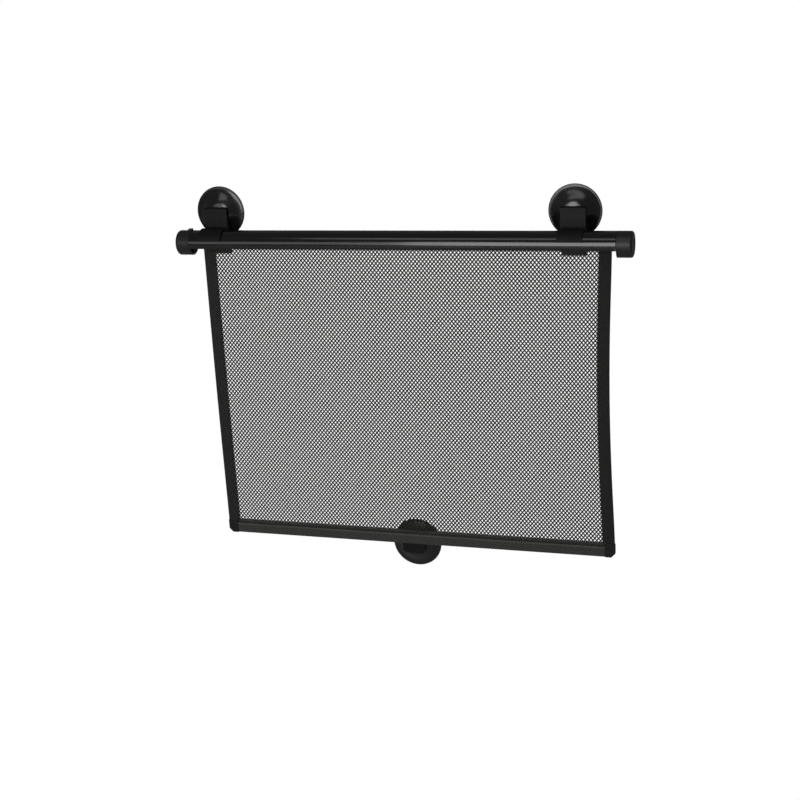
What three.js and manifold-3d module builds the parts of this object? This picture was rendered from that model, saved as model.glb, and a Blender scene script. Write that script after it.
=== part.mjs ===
// Roller sunshade for a car's side window, drawn down and held to the glass by three suction cups.
// Millimetres. +X runs along the cassette, +Y points at the glass, +Z is up.
// The origin lies on the glass, at the middle of the cloth's width, level with the upper cups.
import * as THREE from 'three';
import { mergeVertices } from 'three/addons/utils/BufferGeometryUtils.js';
import Module from 'manifold-3d';

const wasm = await Module();
wasm.setup();

// Clearances
const seatGap = 0.3;
const clipGap = 0.3;
const hemToSocket = 0.4;
const collarSlip = 0.2;

// How far a cutting solid runs past what it cuts
const past = 1;

// Sides of round forms, and straight pieces in drawn curves
const wideSides = 32;
const cupSides = 26;
const middleSides = 24;
const smallSides = 16;
const pinSides = 12;
const coreSides = 20;
const edgeSteps = 4;
const bellSteps = 7;

// Suction cups
const cupRadius = 25;
const cupRimLand = 2.2;
const cupRimRound = 0.4;
const cupLip = 1;
const cupHollow = 2.6;
const cupDomeHeight = 8.3;
const cupShoulder = 7.6;
const hollowFlat = 0.45;
const hollowFall = 0.75;
const hollowFallHeight = 0.6;
const bellFoot = 0.66;
const bellFootRise = 1.6;
const bellWaist = 0.54;
const bellShoulderDrop = 0.6;
const cupNeckRadius = 3;
const cupNeckLength = 2;
const cupHeadRadius = 4.8;
const cupHeadThickness = 2.6;
const cupHeadRound = 0.9;
const leftCupInset = 14.4;
const rightCupInset = 35.9;
const lowerCupX = -2.1;

// Keyhole sockets that take the cups' heads
const socketWidth = 23;
const socketRearWall = 1.4;
const socketFrontWall = 1.1;
const keyholeTravel = 9;
const plateAboveSeat = 5.6;
const plateBevel = 1.9;
const plateRearBevel = 0.6;
const socketCorner = 4;
const socketFoot = 1;

// Cassette
const housingRadius = 12;
const housingWall = 1;
const housingOpenAngle = 18.3;
const housingLipRadius = 0.9;
const axisBelowCups = 26.4;
const leftClearance = 7.6;
const rightClearance = 5.5;

// Snap clips on the cassette
const clipWall = 1.5;
const clipHookAngle = 38;
const clipNib = 1.7;
const nibSink = 0.2;
const nibLead = 2;
const nibHeel = 3;

// End caps
const capLength = 14.5;
const capEdgeRadius = 2.4;
const capFaceDish = 0.5;
const capWall = 2;
const capEndWall = 4;
const capHubRadius = 3.6;
const capRib = 1.2;
const spigotLength = 8;
const spigotWall = 1.6;
const spigotAngle = 8;
const keyTabLength = 3.6;
const keyTabWidth = 4;
const keyTabHeight = 1.6;

// Roller and its spring
const rollerRadius = 4.5;
const rollerWall = 0.7;
const rollerPastCloth = 2;
const plugLength = 8;
const plugFlange = 1.2;
const plugBase = 2;
const noseLength = 5;
const arborRadius = 1.5;
const arborLength = 154;
const arborGrip = 7;
const tangHalf = 1.05;
const springRadius = 3;
const springWire = 0.8;
const springTurns = 16;
const springSeatOverlap = 3;
const collarLength = 5;
const bushLength = 6;
const bushInset = 1;
const idlePinLength = 20;
const idlePinGrip = 8;

// Cloth and tapes
const clothWidth = 400;
const clothThickness = 0.8;
const clothRidge = 0.35;
const ridgeWidth = 1.6;
const rollSheet = 0.4;
const rollPitch = 0.5;
const rollTurns = 1.5;
const tapeWidth = 12;
const tapeWall = 0.5;
const gapColumns = 11;
const gapRows = 6;
const openShare = 0.4;

// Hem and bottom bar
const hemBottomBelowCups = 330.9;
const hemHeight = 13.6;
const hemThickness = 3.6;
const hemWall = 0.5;
const hemSeam = 1.8;
const seamBulge = 0.2;
const barHeight = 10;
const barThickness = 2;
const barEndWidth = 10;
const barEndChamfer = 4;
const barEndGrip = 6.5;
const lowerSeatBelowHem = 4.6;
const socketTopBelowSeam = 1.5;

// Socket rivets
const rivetRadius = 1;
const rivetHeadRadius = 1.9;
const rivetHead = 0.6;
const rivetSpread = 8.4;
const rivetBoss = 2.6;
const bossSink = 0.5;

// Places worked out from the sizes above
const glassY = 0;
const leftCupX = -clothWidth / 2 + leftCupInset;
const rightCupX = clothWidth / 2 - rightCupInset;
const socketRearY = glassY - cupDomeHeight - seatGap;
const pocketRearY = socketRearY - socketRearWall;
const pocketDepth = cupHeadThickness + 2 * seatGap;
const pocketFrontY = pocketRearY - pocketDepth;
const socketFrontY = pocketFrontY - socketFrontWall;
const clothY = socketFrontY - hemToSocket - hemThickness / 2;
const rollInner = rollerRadius + seatGap;
const rollOuter = rollInner + rollTurns * rollPitch + rollSheet;
const axisY = clothY - rollOuter;
const axisZ = -axisBelowCups;
const housingInner = housingRadius - housingWall;
const leftCapX = -clothWidth / 2 - leftClearance;
const rightCapX = clothWidth / 2 + rightClearance;
const rollerHalf = clothWidth / 2 + rollerPastCloth;
const plugFaceX = rollerHalf + seatGap + plugFlange;
const rollerBore = rollerRadius - rollerWall;
const plugRadius = rollerBore - seatGap;
const noseRadius = springRadius - springWire / 2 - seatGap;
const hemBottomZ = -hemBottomBelowCups;
const hemTopZ = hemBottomZ + hemHeight;
const barZ = hemBottomZ + (hemHeight - hemSeam) / 2;
const lowerSeatZ = hemBottomZ - lowerSeatBelowHem;
const hemHalf = clothWidth / 2 - barEndWidth - seatGap;

// Finishes
const finish = (color, roughness, metalness = 0) => (
  new THREE.MeshStandardMaterial({ color, roughness, metalness })
);
const finishes = {
  glossBlack: finish(0x16150f, 0.18),
  satinBlack: finish(0x1f1e1c, 0.5),
  softRubber: finish(0x141413, 0.38),
  meshCloth: finish(0x1d1c18, 0.8),
  tapeCloth: finish(0x191817, 0.85),
  steel: finish(0x9a9b9c, 0.35, 1),
  aluminium: finish(0xb4b6b8, 0.4, 1),
  bushPlastic: finish(0xd8d6cf, 0.55),
};

// Solids and meshes

function solidFrom(geometry) {
  const bare = new THREE.BufferGeometry();
  bare.setAttribute('position', geometry.getAttribute('position').clone());
  if (geometry.index) {
    bare.setIndex(geometry.index.clone());
  }
  const merged = mergeVertices(bare, 1e-4);
  const points = merged.getAttribute('position').array;
  const corner = (i) => new THREE.Vector3().fromArray(points, 3 * i);
  const index = merged.index.array;
  const triangles = [];
  let volume = 0;
  for (let i = 0; i < index.length; i += 3) {
    const [a, b, c] = index.slice(i, i + 3);
    if (a !== b && b !== c && c !== a) {
      triangles.push(a, b, c);
      volume += corner(a).dot(corner(b).cross(corner(c)));
    }
  }
  if (volume < 0) {
    triangles.reverse();
  }
  return new wasm.Manifold(new wasm.Mesh({
    numProp: 3,
    vertProperties: new Float32Array(points),
    triVerts: new Uint32Array(triangles),
  }));
}

function geometryFrom(solid) {
  const mesh = solid.getMesh();
  const geometry = new THREE.BufferGeometry();
  geometry.setAttribute('position', new THREE.BufferAttribute(new Float32Array(mesh.vertProperties), 3));
  geometry.setIndex(new THREE.BufferAttribute(new Uint32Array(mesh.triVerts), 1));
  geometry.computeVertexNormals();
  return geometry;
}

const shade = new THREE.Group();

function addPiece(name, solid, material) {
  const mesh = new THREE.Mesh(geometryFrom(solid), material.clone());
  mesh.name = name;
  shade.add(mesh);
}

// A profile drawn in Y and Z, drawn out along X
function alongX(shape, x0, x1, curveSegments = pinSides) {
  const geometry = new THREE.ExtrudeGeometry(shape, { depth: x1 - x0, bevelEnabled: false, curveSegments });
  const turn = new THREE.Matrix4().set(0, 0, 1, x0, 1, 0, 0, 0, 0, 1, 0, 0, 0, 0, 0, 1);
  return solidFrom(geometry.applyMatrix4(turn));
}

// A profile drawn in X and Z, drawn out from y0, near the glass, to y1, nearer the viewer
function alongY(shape, y0, y1, curveSegments = pinSides) {
  const geometry = new THREE.ExtrudeGeometry(shape, { depth: y0 - y1, bevelEnabled: false, curveSegments });
  return solidFrom(geometry.rotateX(Math.PI / 2).translate(0, y0, 0));
}

// Profiles of [radius, distance] turned about an axis along X, or about one that leaves the glass
function turnedAboutX(profile, y, z, segments = wideSides) {
  const points = profile.map(([radius, x]) => new THREE.Vector2(radius, x));
  return solidFrom(new THREE.LatheGeometry(points, segments).rotateZ(-Math.PI / 2).translate(0, y, z));
}

function turnedFromGlass(profile, x, z, segments = cupSides) {
  const points = profile.map(([radius, height]) => new THREE.Vector2(radius, height));
  return solidFrom(new THREE.LatheGeometry(points, segments).rotateX(Math.PI).translate(x, glassY, z));
}

function block(x0, x1, y0, y1, z0, z1) {
  const geometry = new THREE.BoxGeometry(x1 - x0, y1 - y0, z1 - z0);
  return solidFrom(geometry.translate((x0 + x1) / 2, (y0 + y1) / 2, (z0 + z1) / 2));
}

function rodAlongX(radius, x0, x1, y = axisY, z = axisZ, segments = wideSides) {
  return turnedAboutX([[0, x0], [radius, x0], [radius, x1], [0, x1]], y, z, segments);
}

function tubeAlongX(outer, inner, x0, x1, segments = middleSides) {
  const profile = [[inner, x0], [outer, x0], [outer, x1], [inner, x1], [inner, x0]];
  return turnedAboutX(profile, axisY, axisZ, segments);
}

function pinAlongY(radius, x, y0, y1, z, segments = pinSides) {
  const circle = new THREE.Shape().absarc(x, z, radius, 0, 2 * Math.PI);
  return alongY(circle, y0, y1, segments);
}

const radians = THREE.MathUtils.degToRad;

// A ring round the cassette's axis that leaves out `below` degrees under the level, front and rear
function overRing(outer, inner, below) {
  const from = -radians(below);
  const to = Math.PI + radians(below);
  const ring = new THREE.Shape();
  ring.absarc(axisY, axisZ, outer, from, to, false);
  ring.absarc(axisY, axisZ, inner, to, from, true);
  return ring;
}

function onRing(radius, below, side) {
  const angle = radians(below);
  return [axisY + side * radius * Math.cos(angle), axisZ - radius * Math.sin(angle)];
}

// Cassette shell: a C-shaped profile with a rolled bead along both lower edges
function housingShell() {
  const ring = overRing(housingRadius, housingInner, housingOpenAngle);
  let shell = alongX(ring, leftCapX + seatGap, rightCapX - seatGap, wideSides);
  for (const side of [-1, 1]) {
    const [y, z] = onRing(housingRadius - housingLipRadius, housingOpenAngle, side);
    const bead = rodAlongX(housingLipRadius, leftCapX + seatGap, rightCapX - seatGap, y, z, pinSides);
    shell = shell.add(bead);
  }
  return shell;
}

// End cap: a cored moulding with a rounded outer edge, a hub on four ribs and a spigot in the shell
function endCap(side, hubBore) {
  const faceX = side < 0 ? leftCapX : rightCapX;
  const outward = (distance) => faceX + side * distance;
  const edge = [];
  for (let i = 0; i <= edgeSteps; i += 1) {
    const angle = (i / edgeSteps) * Math.PI / 2;
    const radius = housingRadius - capEdgeRadius * (1 - Math.cos(angle));
    edge.push([radius, outward(capLength - capEdgeRadius * (1 - Math.sin(angle)))]);
  }
  const dishRadius = housingRadius - 2 * capEdgeRadius;
  const body = turnedAboutX([
    [0, outward(0)], [housingRadius, outward(0)], ...edge,
    [dishRadius, outward(capLength)], [0, outward(capLength - capFaceDish)],
  ], axisY, axisZ);
  const coreDepth = capLength - capEndWall;
  const coreRadius = housingRadius - capWall;
  const core = tubeAlongX(coreRadius, capHubRadius, outward(-past), outward(coreDepth), coreSides);
  const ribs = block(
    Math.min(outward(0), outward(coreDepth)), Math.max(outward(0), outward(coreDepth)),
    axisY - housingRadius + capWall / 2, axisY + housingRadius - capWall / 2,
    axisZ - capRib / 2, axisZ + capRib / 2,
  );
  const uprightRibs = block(
    Math.min(outward(0), outward(coreDepth)), Math.max(outward(0), outward(coreDepth)),
    axisY - capRib / 2, axisY + capRib / 2,
    axisZ - housingRadius + capWall / 2, axisZ + housingRadius - capWall / 2,
  );
  const spigotOuter = housingInner - seatGap;
  const spigotRing = overRing(spigotOuter, spigotOuter - spigotWall, -spigotAngle);
  const spigotEnds = [outward(capWall), outward(-spigotLength)].sort((a, b) => a - b);
  const spigot = alongX(spigotRing, ...spigotEnds, smallSides);
  const hubReach = Math.abs(faceX) - plugFaceX - seatGap;
  const hub = rodAlongX(capHubRadius, outward(coreDepth), outward(-hubReach), axisY, axisZ, smallSides);
  return body.subtract(core).add(ribs).add(uprightRibs).add(spigot).add(hub).subtract(hubBore);
}

function endCapLeft() {
  const tang = tangHalf + seatGap;
  const bore = arborRadius + seatGap;
  const socketX = leftCapX - arborGrip - seatGap;
  const hole = rodAlongX(bore, socketX, leftCapX + housingRadius)
    .intersect(block(socketX, leftCapX + housingRadius, axisY - tang, axisY + tang, axisZ - bore, axisZ + bore));
  const tab = block(
    leftCapX - keyTabLength, leftCapX,
    axisY - keyTabWidth / 2, axisY + keyTabWidth / 2,
    axisZ + housingRadius - capWall / 2, axisZ + housingRadius + keyTabHeight,
  );
  return endCap(-1, hole).add(tab);
}

function endCapRight() {
  const hole = rodAlongX(arborRadius + seatGap, rightCapX - housingRadius, idlePinEnd() + seatGap);
  return endCap(1, hole);
}

// Suction cup: a thin-lipped bell pressed on the glass, with a neck and a mushroom head
function suctionCup(x, z) {
  const hollowRadius = cupRadius - cupRimLand;
  const landRadius = cupRadius - cupRimRound;
  const hollow = new THREE.CubicBezierCurve(
    new THREE.Vector2(0, cupHollow),
    new THREE.Vector2(hollowRadius * hollowFlat, cupHollow),
    new THREE.Vector2(hollowRadius * hollowFall, cupHollow * hollowFallHeight),
    new THREE.Vector2(hollowRadius, 0),
  );
  const bell = new THREE.CubicBezierCurve(
    new THREE.Vector2(cupRadius, cupLip),
    new THREE.Vector2(cupRadius * bellFoot, cupLip + bellFootRise),
    new THREE.Vector2(cupRadius * bellWaist, cupDomeHeight - bellShoulderDrop),
    new THREE.Vector2(cupShoulder, cupDomeHeight),
  );
  const headBase = cupDomeHeight + cupNeckLength;
  const headTop = headBase + cupHeadThickness;
  const profile = [
    ...hollow.getPoints(edgeSteps).map((p) => [p.x, p.y]),
    [landRadius, 0],
    ...bell.getPoints(bellSteps).map((p) => [p.x, p.y]),
    [cupNeckRadius, cupDomeHeight],
    [cupNeckRadius, headBase],
    [cupHeadRadius, headBase],
    [cupHeadRadius, headTop - cupHeadRound],
    [cupHeadRadius - cupHeadRound, headTop],
    [0, headTop],
  ];
  return turnedFromGlass(profile, x, z);
}

// What a keyhole takes out of a plate: the head's pocket and the neck's slot, from entry to seat
function keyhole(x, seatZ, entryZ) {
  const headRoom = cupHeadRadius + seatGap;
  const neckRoom = cupNeckRadius + seatGap;
  const run = (room, y0, y1) => {
    const slot = block(x - room, x + room, y1, y0, Math.min(seatZ, entryZ), Math.max(seatZ, entryZ));
    return slot.add(pinAlongY(room, x, y0, y1, seatZ)).add(pinAlongY(room, x, y0, y1, entryZ));
  };
  const pocket = run(headRoom, pocketRearY, pocketFrontY);
  const neckSlot = run(neckRoom, socketRearY + past, pocketRearY - past);
  const entry = pinAlongY(headRoom, x, socketRearY + past, pocketRearY - past, entryZ);
  return pocket.add(neckSlot).add(entry);
}

// Cup clip: a springy hook round the cassette that carries a flat keyhole plate above it
function cupClip(x) {
  const inner = housingRadius + clipGap;
  const outer = inner + clipWall;
  const x0 = x - socketWidth / 2;
  const x1 = x + socketWidth / 2;
  const plateTop = plateAboveSeat;
  const plate = new THREE.Shape();
  plate.moveTo(socketRearY, axisZ);
  plate.lineTo(socketRearY, plateTop - plateRearBevel);
  plate.lineTo(socketRearY - plateRearBevel, plateTop);
  plate.lineTo(socketFrontY + plateBevel, plateTop);
  plate.quadraticCurveTo(socketFrontY, plateTop, socketFrontY, plateTop - plateBevel);
  plate.lineTo(socketFrontY, axisZ);
  const cassette = rodAlongX(inner, x0 - past, x1 + past);
  let clip = alongX(plate, x0, x1, edgeSteps).subtract(cassette);
  clip = clip.add(alongX(overRing(outer, inner, clipHookAngle), x0, x1, middleSides));
  const nibFrom = housingOpenAngle + THREE.MathUtils.radToDeg((housingLipRadius + 2 * seatGap) / housingInner);
  for (const side of [-1, 1]) {
    const nib = new THREE.Shape();
    nib.moveTo(...onRing(outer - nibSink, nibFrom, side));
    nib.lineTo(...onRing(inner - clipNib, nibFrom + nibLead, side));
    nib.lineTo(...onRing(inner - clipNib, clipHookAngle - nibHeel, side));
    nib.lineTo(...onRing(outer - nibSink, clipHookAngle, side));
    clip = clip.add(alongX(nib, x0, x1));
  }
  return clip.subtract(keyhole(x, 0, -keyholeTravel));
}

// Roller tube and what turns with it
const idlePinEnd = () => rollerHalf - idlePinGrip + idlePinLength;

function idlePin() {
  return rodAlongX(arborRadius, rollerHalf - idlePinGrip, idlePinEnd(), axisY, axisZ, coreSides);
}

function rollerPlugLeft() {
  const bore = arborRadius + seatGap;
  const inward = -rollerHalf + plugLength;
  return turnedAboutX([
    [bore, -plugFaceX], [rollerRadius, -plugFaceX], [rollerRadius, -plugFaceX + plugFlange],
    [plugRadius, -plugFaceX + plugFlange], [plugRadius, inward], [noseRadius, inward],
    [noseRadius, inward + noseLength], [bore, inward + noseLength], [bore, -plugFaceX],
  ], axisY, axisZ, middleSides);
}

function rollerPlugRight() {
  const bore = arborRadius + seatGap;
  const pinRest = rollerHalf - idlePinGrip - seatGap;
  const inward = pinRest - plugBase;
  return turnedAboutX([
    [0, inward], [plugRadius, inward], [plugRadius, plugFaceX - plugFlange],
    [rollerRadius, plugFaceX - plugFlange], [rollerRadius, plugFaceX], [bore, plugFaceX],
    [bore, pinRest], [0, pinRest],
  ], axisY, axisZ, middleSides);
}

// Turns of cloth left on the roller, one spiral sheet that ends where the cloth hangs off it
function clothRoll() {
  const steps = Math.round(rollTurns * coreSides);
  const spiral = (offset) => {
    const points = [];
    for (let i = 0; i <= steps; i += 1) {
      const turn = (i / steps) * rollTurns;
      const radius = rollInner + turn * rollPitch + offset;
      const angle = (turn - rollTurns) * 2 * Math.PI;
      points.push(new THREE.Vector2(axisY + radius * Math.cos(angle), axisZ - radius * Math.sin(angle)));
    }
    return points;
  };
  const sheet = new THREE.Shape([...spiral(0), ...spiral(rollSheet).reverse()]);
  return alongX(sheet, -clothWidth / 2, clothWidth / 2);
}

// Arbor: a fixed rod with a flattened tang in the left cap
const arborLeft = leftCapX - arborGrip;
const arborRight = arborLeft + arborLength;

function arborRod() {
  const rod = rodAlongX(arborRadius, arborLeft, arborRight, axisY, axisZ, coreSides);
  const tangEnd = -plugFaceX - seatGap;
  const reach = arborRadius + past;
  const flats = block(arborLeft - past, tangEnd, axisY + tangHalf, axisY + reach, axisZ - reach, axisZ + reach)
    .add(block(arborLeft - past, tangEnd, axisY - reach, axisY - tangHalf, axisZ - reach, axisZ + reach));
  return rod.subtract(flats);
}

const bushRight = arborRight - bushInset;
const bushLeft = bushRight - bushLength;
const collarRight = bushLeft - seatGap;
const collarLeft = collarRight - collarLength;

function arborBush() {
  return tubeAlongX(plugRadius, arborRadius + seatGap, bushLeft, bushRight);
}

function arborCollar() {
  const bore = arborRadius + seatGap;
  const outer = plugRadius - collarSlip;
  const noseLeft = collarLeft - noseLength;
  return turnedAboutX([
    [bore, noseLeft], [noseRadius, noseLeft], [noseRadius, collarLeft], [outer, collarLeft],
    [outer, collarRight], [bore, collarRight], [bore, noseLeft],
  ], axisY, axisZ, middleSides);
}

class Helix extends THREE.Curve {
  constructor(x0, x1, radius, turns) {
    super();
    Object.assign(this, { x0, x1, radius, turns });
  }

  getPoint(t, target = new THREE.Vector3()) {
    const angle = t * this.turns * 2 * Math.PI;
    const x = this.x0 + t * (this.x1 - this.x0);
    return target.set(x, axisY + this.radius * Math.cos(angle), axisZ + this.radius * Math.sin(angle));
  }
}

function torsionSpring() {
  const x0 = -rollerHalf + plugLength + noseLength - springSeatOverlap;
  const x1 = collarLeft - noseLength + springSeatOverlap;
  const wireSides = 5;
  const stepsPerTurn = 8;
  const wire = new THREE.Shape();
  for (let i = 0; i < wireSides; i += 1) {
    const angle = (i / wireSides) * 2 * Math.PI;
    const corner = [springWire / 2 * Math.cos(angle), springWire / 2 * Math.sin(angle)];
    if (i === 0) {
      wire.moveTo(...corner);
    } else {
      wire.lineTo(...corner);
    }
  }
  wire.closePath();
  const path = new Helix(x0, x1, springRadius, springTurns);
  const geometry = new THREE.ExtrudeGeometry(wire, { steps: springTurns * stepsPerTurn, extrudePath: path });
  return solidFrom(geometry);
}

// Mesh cloth: a wall with staggered diamond gaps, and crossed ridges between them
const clothTopZ = axisZ - Math.sqrt(rollOuter ** 2 - (rollOuter - clothThickness / 2 - seatGap) ** 2);
const clothBottomZ = hemTopZ + seatGap;
const tapeHalfThickness = clothThickness / 2 + seatGap + tapeWall;
const tapeTopZ = axisZ - Math.sqrt(rollOuter ** 2 - (rollOuter - tapeHalfThickness - seatGap) ** 2);

function meshPanel() {
  const half = clothWidth / 2 - tapeWall - seatGap;
  const fieldHalf = clothWidth / 2 - tapeWidth - ridgeWidth;
  const fieldTop = tapeTopZ - ridgeWidth;
  const fieldBottom = clothBottomZ + ridgeWidth;
  const pitchX = 2 * fieldHalf / gapColumns;
  const pitchZ = (fieldTop - fieldBottom) / gapRows;
  const wall = new THREE.Shape();
  wall.moveTo(-half, clothBottomZ);
  wall.lineTo(half, clothBottomZ);
  wall.lineTo(half, clothTopZ);
  wall.lineTo(-half, clothTopZ);
  wall.closePath();
  const share = Math.sqrt(openShare);
  const addGap = (x, z) => {
    const gap = new THREE.Path();
    gap.moveTo(x - share * pitchX / 2, z);
    gap.lineTo(x, z + share * pitchZ / 2);
    gap.lineTo(x + share * pitchX / 2, z);
    gap.lineTo(x, z - share * pitchZ / 2);
    gap.closePath();
    wall.holes.push(gap);
  };
  for (let row = 0; row < gapRows; row += 1) {
    for (let column = 0; column < gapColumns; column += 1) {
      addGap(-fieldHalf + (column + 0.5) * pitchX, fieldBottom + (row + 0.5) * pitchZ);
      if (row > 0 && column > 0) {
        addGap(-fieldHalf + column * pitchX, fieldBottom + row * pitchZ);
      }
    }
  }
  const rearY = clothY + clothThickness / 2;
  const frontY = clothY - clothThickness / 2;
  let panel = alongY(wall, rearY, frontY);
  const reach = gapColumns + gapRows;
  const slope = Math.atan2(pitchZ, pitchX);
  const sink = clothThickness / 4;
  const layers = [[1, frontY + sink, frontY - clothRidge], [-1, rearY + clothRidge, rearY - sink]];
  for (const [lean, y0, y1] of layers) {
    let ridges = null;
    const field = block(-fieldHalf, fieldHalf, y1, y0, fieldBottom, fieldTop);
    for (let i = 1; i <= reach; i += 1) {
      const bar = new THREE.BoxGeometry(reach * pitchX, y0 - y1, ridgeWidth);
      bar.rotateY(-lean * slope);
      const startX = lean * (-fieldHalf + (i - 0.5 - gapRows / 2) * pitchX);
      bar.translate(startX, (y0 + y1) / 2, (fieldTop + fieldBottom) / 2);
      const ridge = solidFrom(bar);
      ridges = ridges ? ridges.add(ridge) : ridge;
    }
    panel = panel.add(ridges.intersect(field));
  }
  return panel;
}

// Binding tape folded over one edge of the cloth
function sideTape(side) {
  const edge = side * clothWidth / 2;
  const inner = edge - side * tapeWidth;
  const slotHalf = clothThickness / 2 + seatGap;
  const outerBox = block(
    Math.min(edge, inner), Math.max(edge, inner),
    clothY - tapeHalfThickness, clothY + tapeHalfThickness, clothBottomZ, tapeTopZ,
  );
  const slotEdge = edge - side * tapeWall;
  const slotInner = inner - side * past;
  const slot = block(
    Math.min(slotEdge, slotInner), Math.max(slotEdge, slotInner),
    clothY - slotHalf, clothY + slotHalf, clothBottomZ - past, tapeTopZ + past,
  );
  return outerBox.subtract(slot);
}

// A flat section with rounded long edges, in Y and Z
function flatSection(y, z, thickness, height) {
  const radius = thickness / 2;
  const shape = new THREE.Shape();
  shape.absarc(y, z + height / 2 - radius, radius, 0, Math.PI, false);
  shape.absarc(y, z - height / 2 + radius, radius, Math.PI, 2 * Math.PI, false);
  shape.closePath();
  return shape;
}

// Hem: doubled cloth round the bar, sewn shut along its top, with two holes for the socket's bosses
function hemPocket() {
  const height = hemHeight - hemSeam;
  const outer = alongX(flatSection(clothY, barZ, hemThickness, height), -hemHalf, hemHalf, edgeSteps);
  const hollow = flatSection(clothY, barZ, hemThickness - 2 * hemWall, height - 2 * hemWall);
  const inner = alongX(hollow, -hemHalf - past, hemHalf + past, edgeSteps);
  const seamHalf = clothThickness / 2 + seamBulge;
  const seam = block(
    -hemHalf, hemHalf, clothY - seamHalf, clothY + seamHalf, hemTopZ - hemSeam - hemWall, hemTopZ,
  );
  let pocket = outer.add(seam).subtract(inner);
  for (const side of [-1, 1]) {
    const room = rivetBoss + seatGap;
    const x = lowerCupX + side * rivetSpread;
    pocket = pocket.subtract(pinAlongY(room, x, clothY + hemThickness, clothY, barZ));
  }
  return pocket;
}

// Bottom bar: a flat steel strip with two countersunk rivet holes
function bottomBar() {
  const half = hemHalf + seatGap + barEndGrip;
  let bar = alongX(flatSection(clothY, barZ, barThickness, barHeight), -half, half, edgeSteps);
  for (const side of [-1, 1]) {
    const x = lowerCupX + side * rivetSpread;
    const front = clothY - barThickness / 2;
    const sinkY = front + rivetHead + seatGap;
    bar = bar.subtract(pinAlongY(rivetRadius + seatGap, x, clothY + barThickness, clothY - barThickness, barZ));
    bar = bar.subtract(pinAlongY(rivetHeadRadius + seatGap, x, sinkY, front - past, barZ));
  }
  return bar;
}

// Plastic end of the bottom bar, with its lower outer corner cut off
function barEnd(side) {
  const inner = side * (hemHalf + seatGap);
  const edge = side * clothWidth / 2;
  const outline = new THREE.Shape();
  outline.moveTo(inner, hemTopZ);
  outline.lineTo(edge, hemTopZ);
  outline.lineTo(edge, hemBottomZ + barEndChamfer);
  outline.lineTo(edge - side * barEndChamfer, hemBottomZ);
  outline.lineTo(inner, hemBottomZ);
  outline.closePath();
  const half = hemThickness / 2;
  const body = alongY(outline, clothY + half, clothY - half);
  const socket = flatSection(clothY, barZ, barThickness + 2 * seatGap, barHeight + 2 * seatGap);
  const ends = [inner - side * past, inner + side * (barEndGrip + seatGap)].sort((a, b) => a - b);
  return body.subtract(alongX(socket, ...ends, edgeSteps));
}

// Lower cup socket: a keyhole plate behind the hem, riveted to the bar through two bosses
function lowerCupSocket() {
  const x0 = lowerCupX - socketWidth / 2;
  const top = hemTopZ - socketTopBelowSeam;
  const bottom = lowerSeatZ - plateAboveSeat - socketFoot;
  const outline = new THREE.Shape();
  outline.moveTo(x0, top);
  outline.lineTo(x0, bottom + socketCorner);
  outline.quadraticCurveTo(x0, bottom, x0 + socketCorner, bottom);
  outline.lineTo(x0 + socketWidth - socketCorner, bottom);
  outline.quadraticCurveTo(x0 + socketWidth, bottom, x0 + socketWidth, bottom + socketCorner);
  outline.lineTo(x0 + socketWidth, top);
  outline.closePath();
  let plate = alongY(outline, socketRearY, socketFrontY, edgeSteps);
  const bossEndY = clothY + barThickness / 2 + seatGap;
  for (const side of [-1, 1]) {
    const x = lowerCupX + side * rivetSpread;
    plate = plate.add(pinAlongY(rivetBoss, x, socketFrontY + bossSink, bossEndY, barZ));
  }
  for (const side of [-1, 1]) {
    const x = lowerCupX + side * rivetSpread;
    plate = plate.subtract(pinAlongY(rivetRadius + seatGap, x, socketRearY + past, clothY, barZ));
    const recess = socketRearY - rivetHead - seatGap;
    plate = plate.subtract(pinAlongY(rivetHeadRadius + seatGap, x, socketRearY + past, recess, barZ));
  }
  return plate.subtract(keyhole(lowerCupX, lowerSeatZ, lowerSeatZ + keyholeTravel));
}

function socketRivet(side) {
  const x = lowerCupX + side * rivetSpread;
  const rear = -socketRearY;
  const front = -(clothY - barThickness / 2);
  const rearShank = rear + rivetHead;
  const frontShank = front - rivetHead;
  return turnedFromGlass([
    [0, rear], [rivetHeadRadius, rear], [rivetHeadRadius, rearShank], [rivetRadius, rearShank],
    [rivetRadius, frontShank], [rivetHeadRadius, frontShank], [rivetHeadRadius, front], [0, front],
  ], x, barZ, pinSides);
}

// Everything in its place
addPiece('housing_shell', housingShell(), finishes.glossBlack);
addPiece('end_cap_left', endCapLeft(), finishes.satinBlack);
addPiece('end_cap_right', endCapRight(), finishes.satinBlack);
addPiece('cup_clip_left', cupClip(leftCupX), finishes.satinBlack);
addPiece('cup_clip_right', cupClip(rightCupX), finishes.satinBlack);
addPiece('suction_cup_left', suctionCup(leftCupX, 0), finishes.softRubber);
addPiece('suction_cup_right', suctionCup(rightCupX, 0), finishes.softRubber);
addPiece('suction_cup_lower', suctionCup(lowerCupX, lowerSeatZ), finishes.softRubber);
addPiece('roller_tube', tubeAlongX(rollerRadius, rollerBore, -rollerHalf, rollerHalf), finishes.aluminium);
addPiece('roller_plug_left', rollerPlugLeft(), finishes.bushPlastic);
addPiece('roller_plug_right', rollerPlugRight(), finishes.bushPlastic);
addPiece('idle_pin', idlePin(), finishes.steel);
addPiece('cloth_roll', clothRoll(), finishes.meshCloth);
addPiece('arbor_rod', arborRod(), finishes.steel);
addPiece('arbor_collar', arborCollar(), finishes.steel);
addPiece('arbor_bush', arborBush(), finishes.bushPlastic);
addPiece('torsion_spring', torsionSpring(), finishes.steel);
addPiece('mesh_panel', meshPanel(), finishes.meshCloth);
addPiece('side_tape_left', sideTape(-1), finishes.tapeCloth);
addPiece('side_tape_right', sideTape(1), finishes.tapeCloth);
addPiece('hem_pocket', hemPocket(), finishes.meshCloth);
addPiece('bottom_bar', bottomBar(), finishes.steel);
addPiece('bar_end_left', barEnd(-1), finishes.satinBlack);
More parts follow.
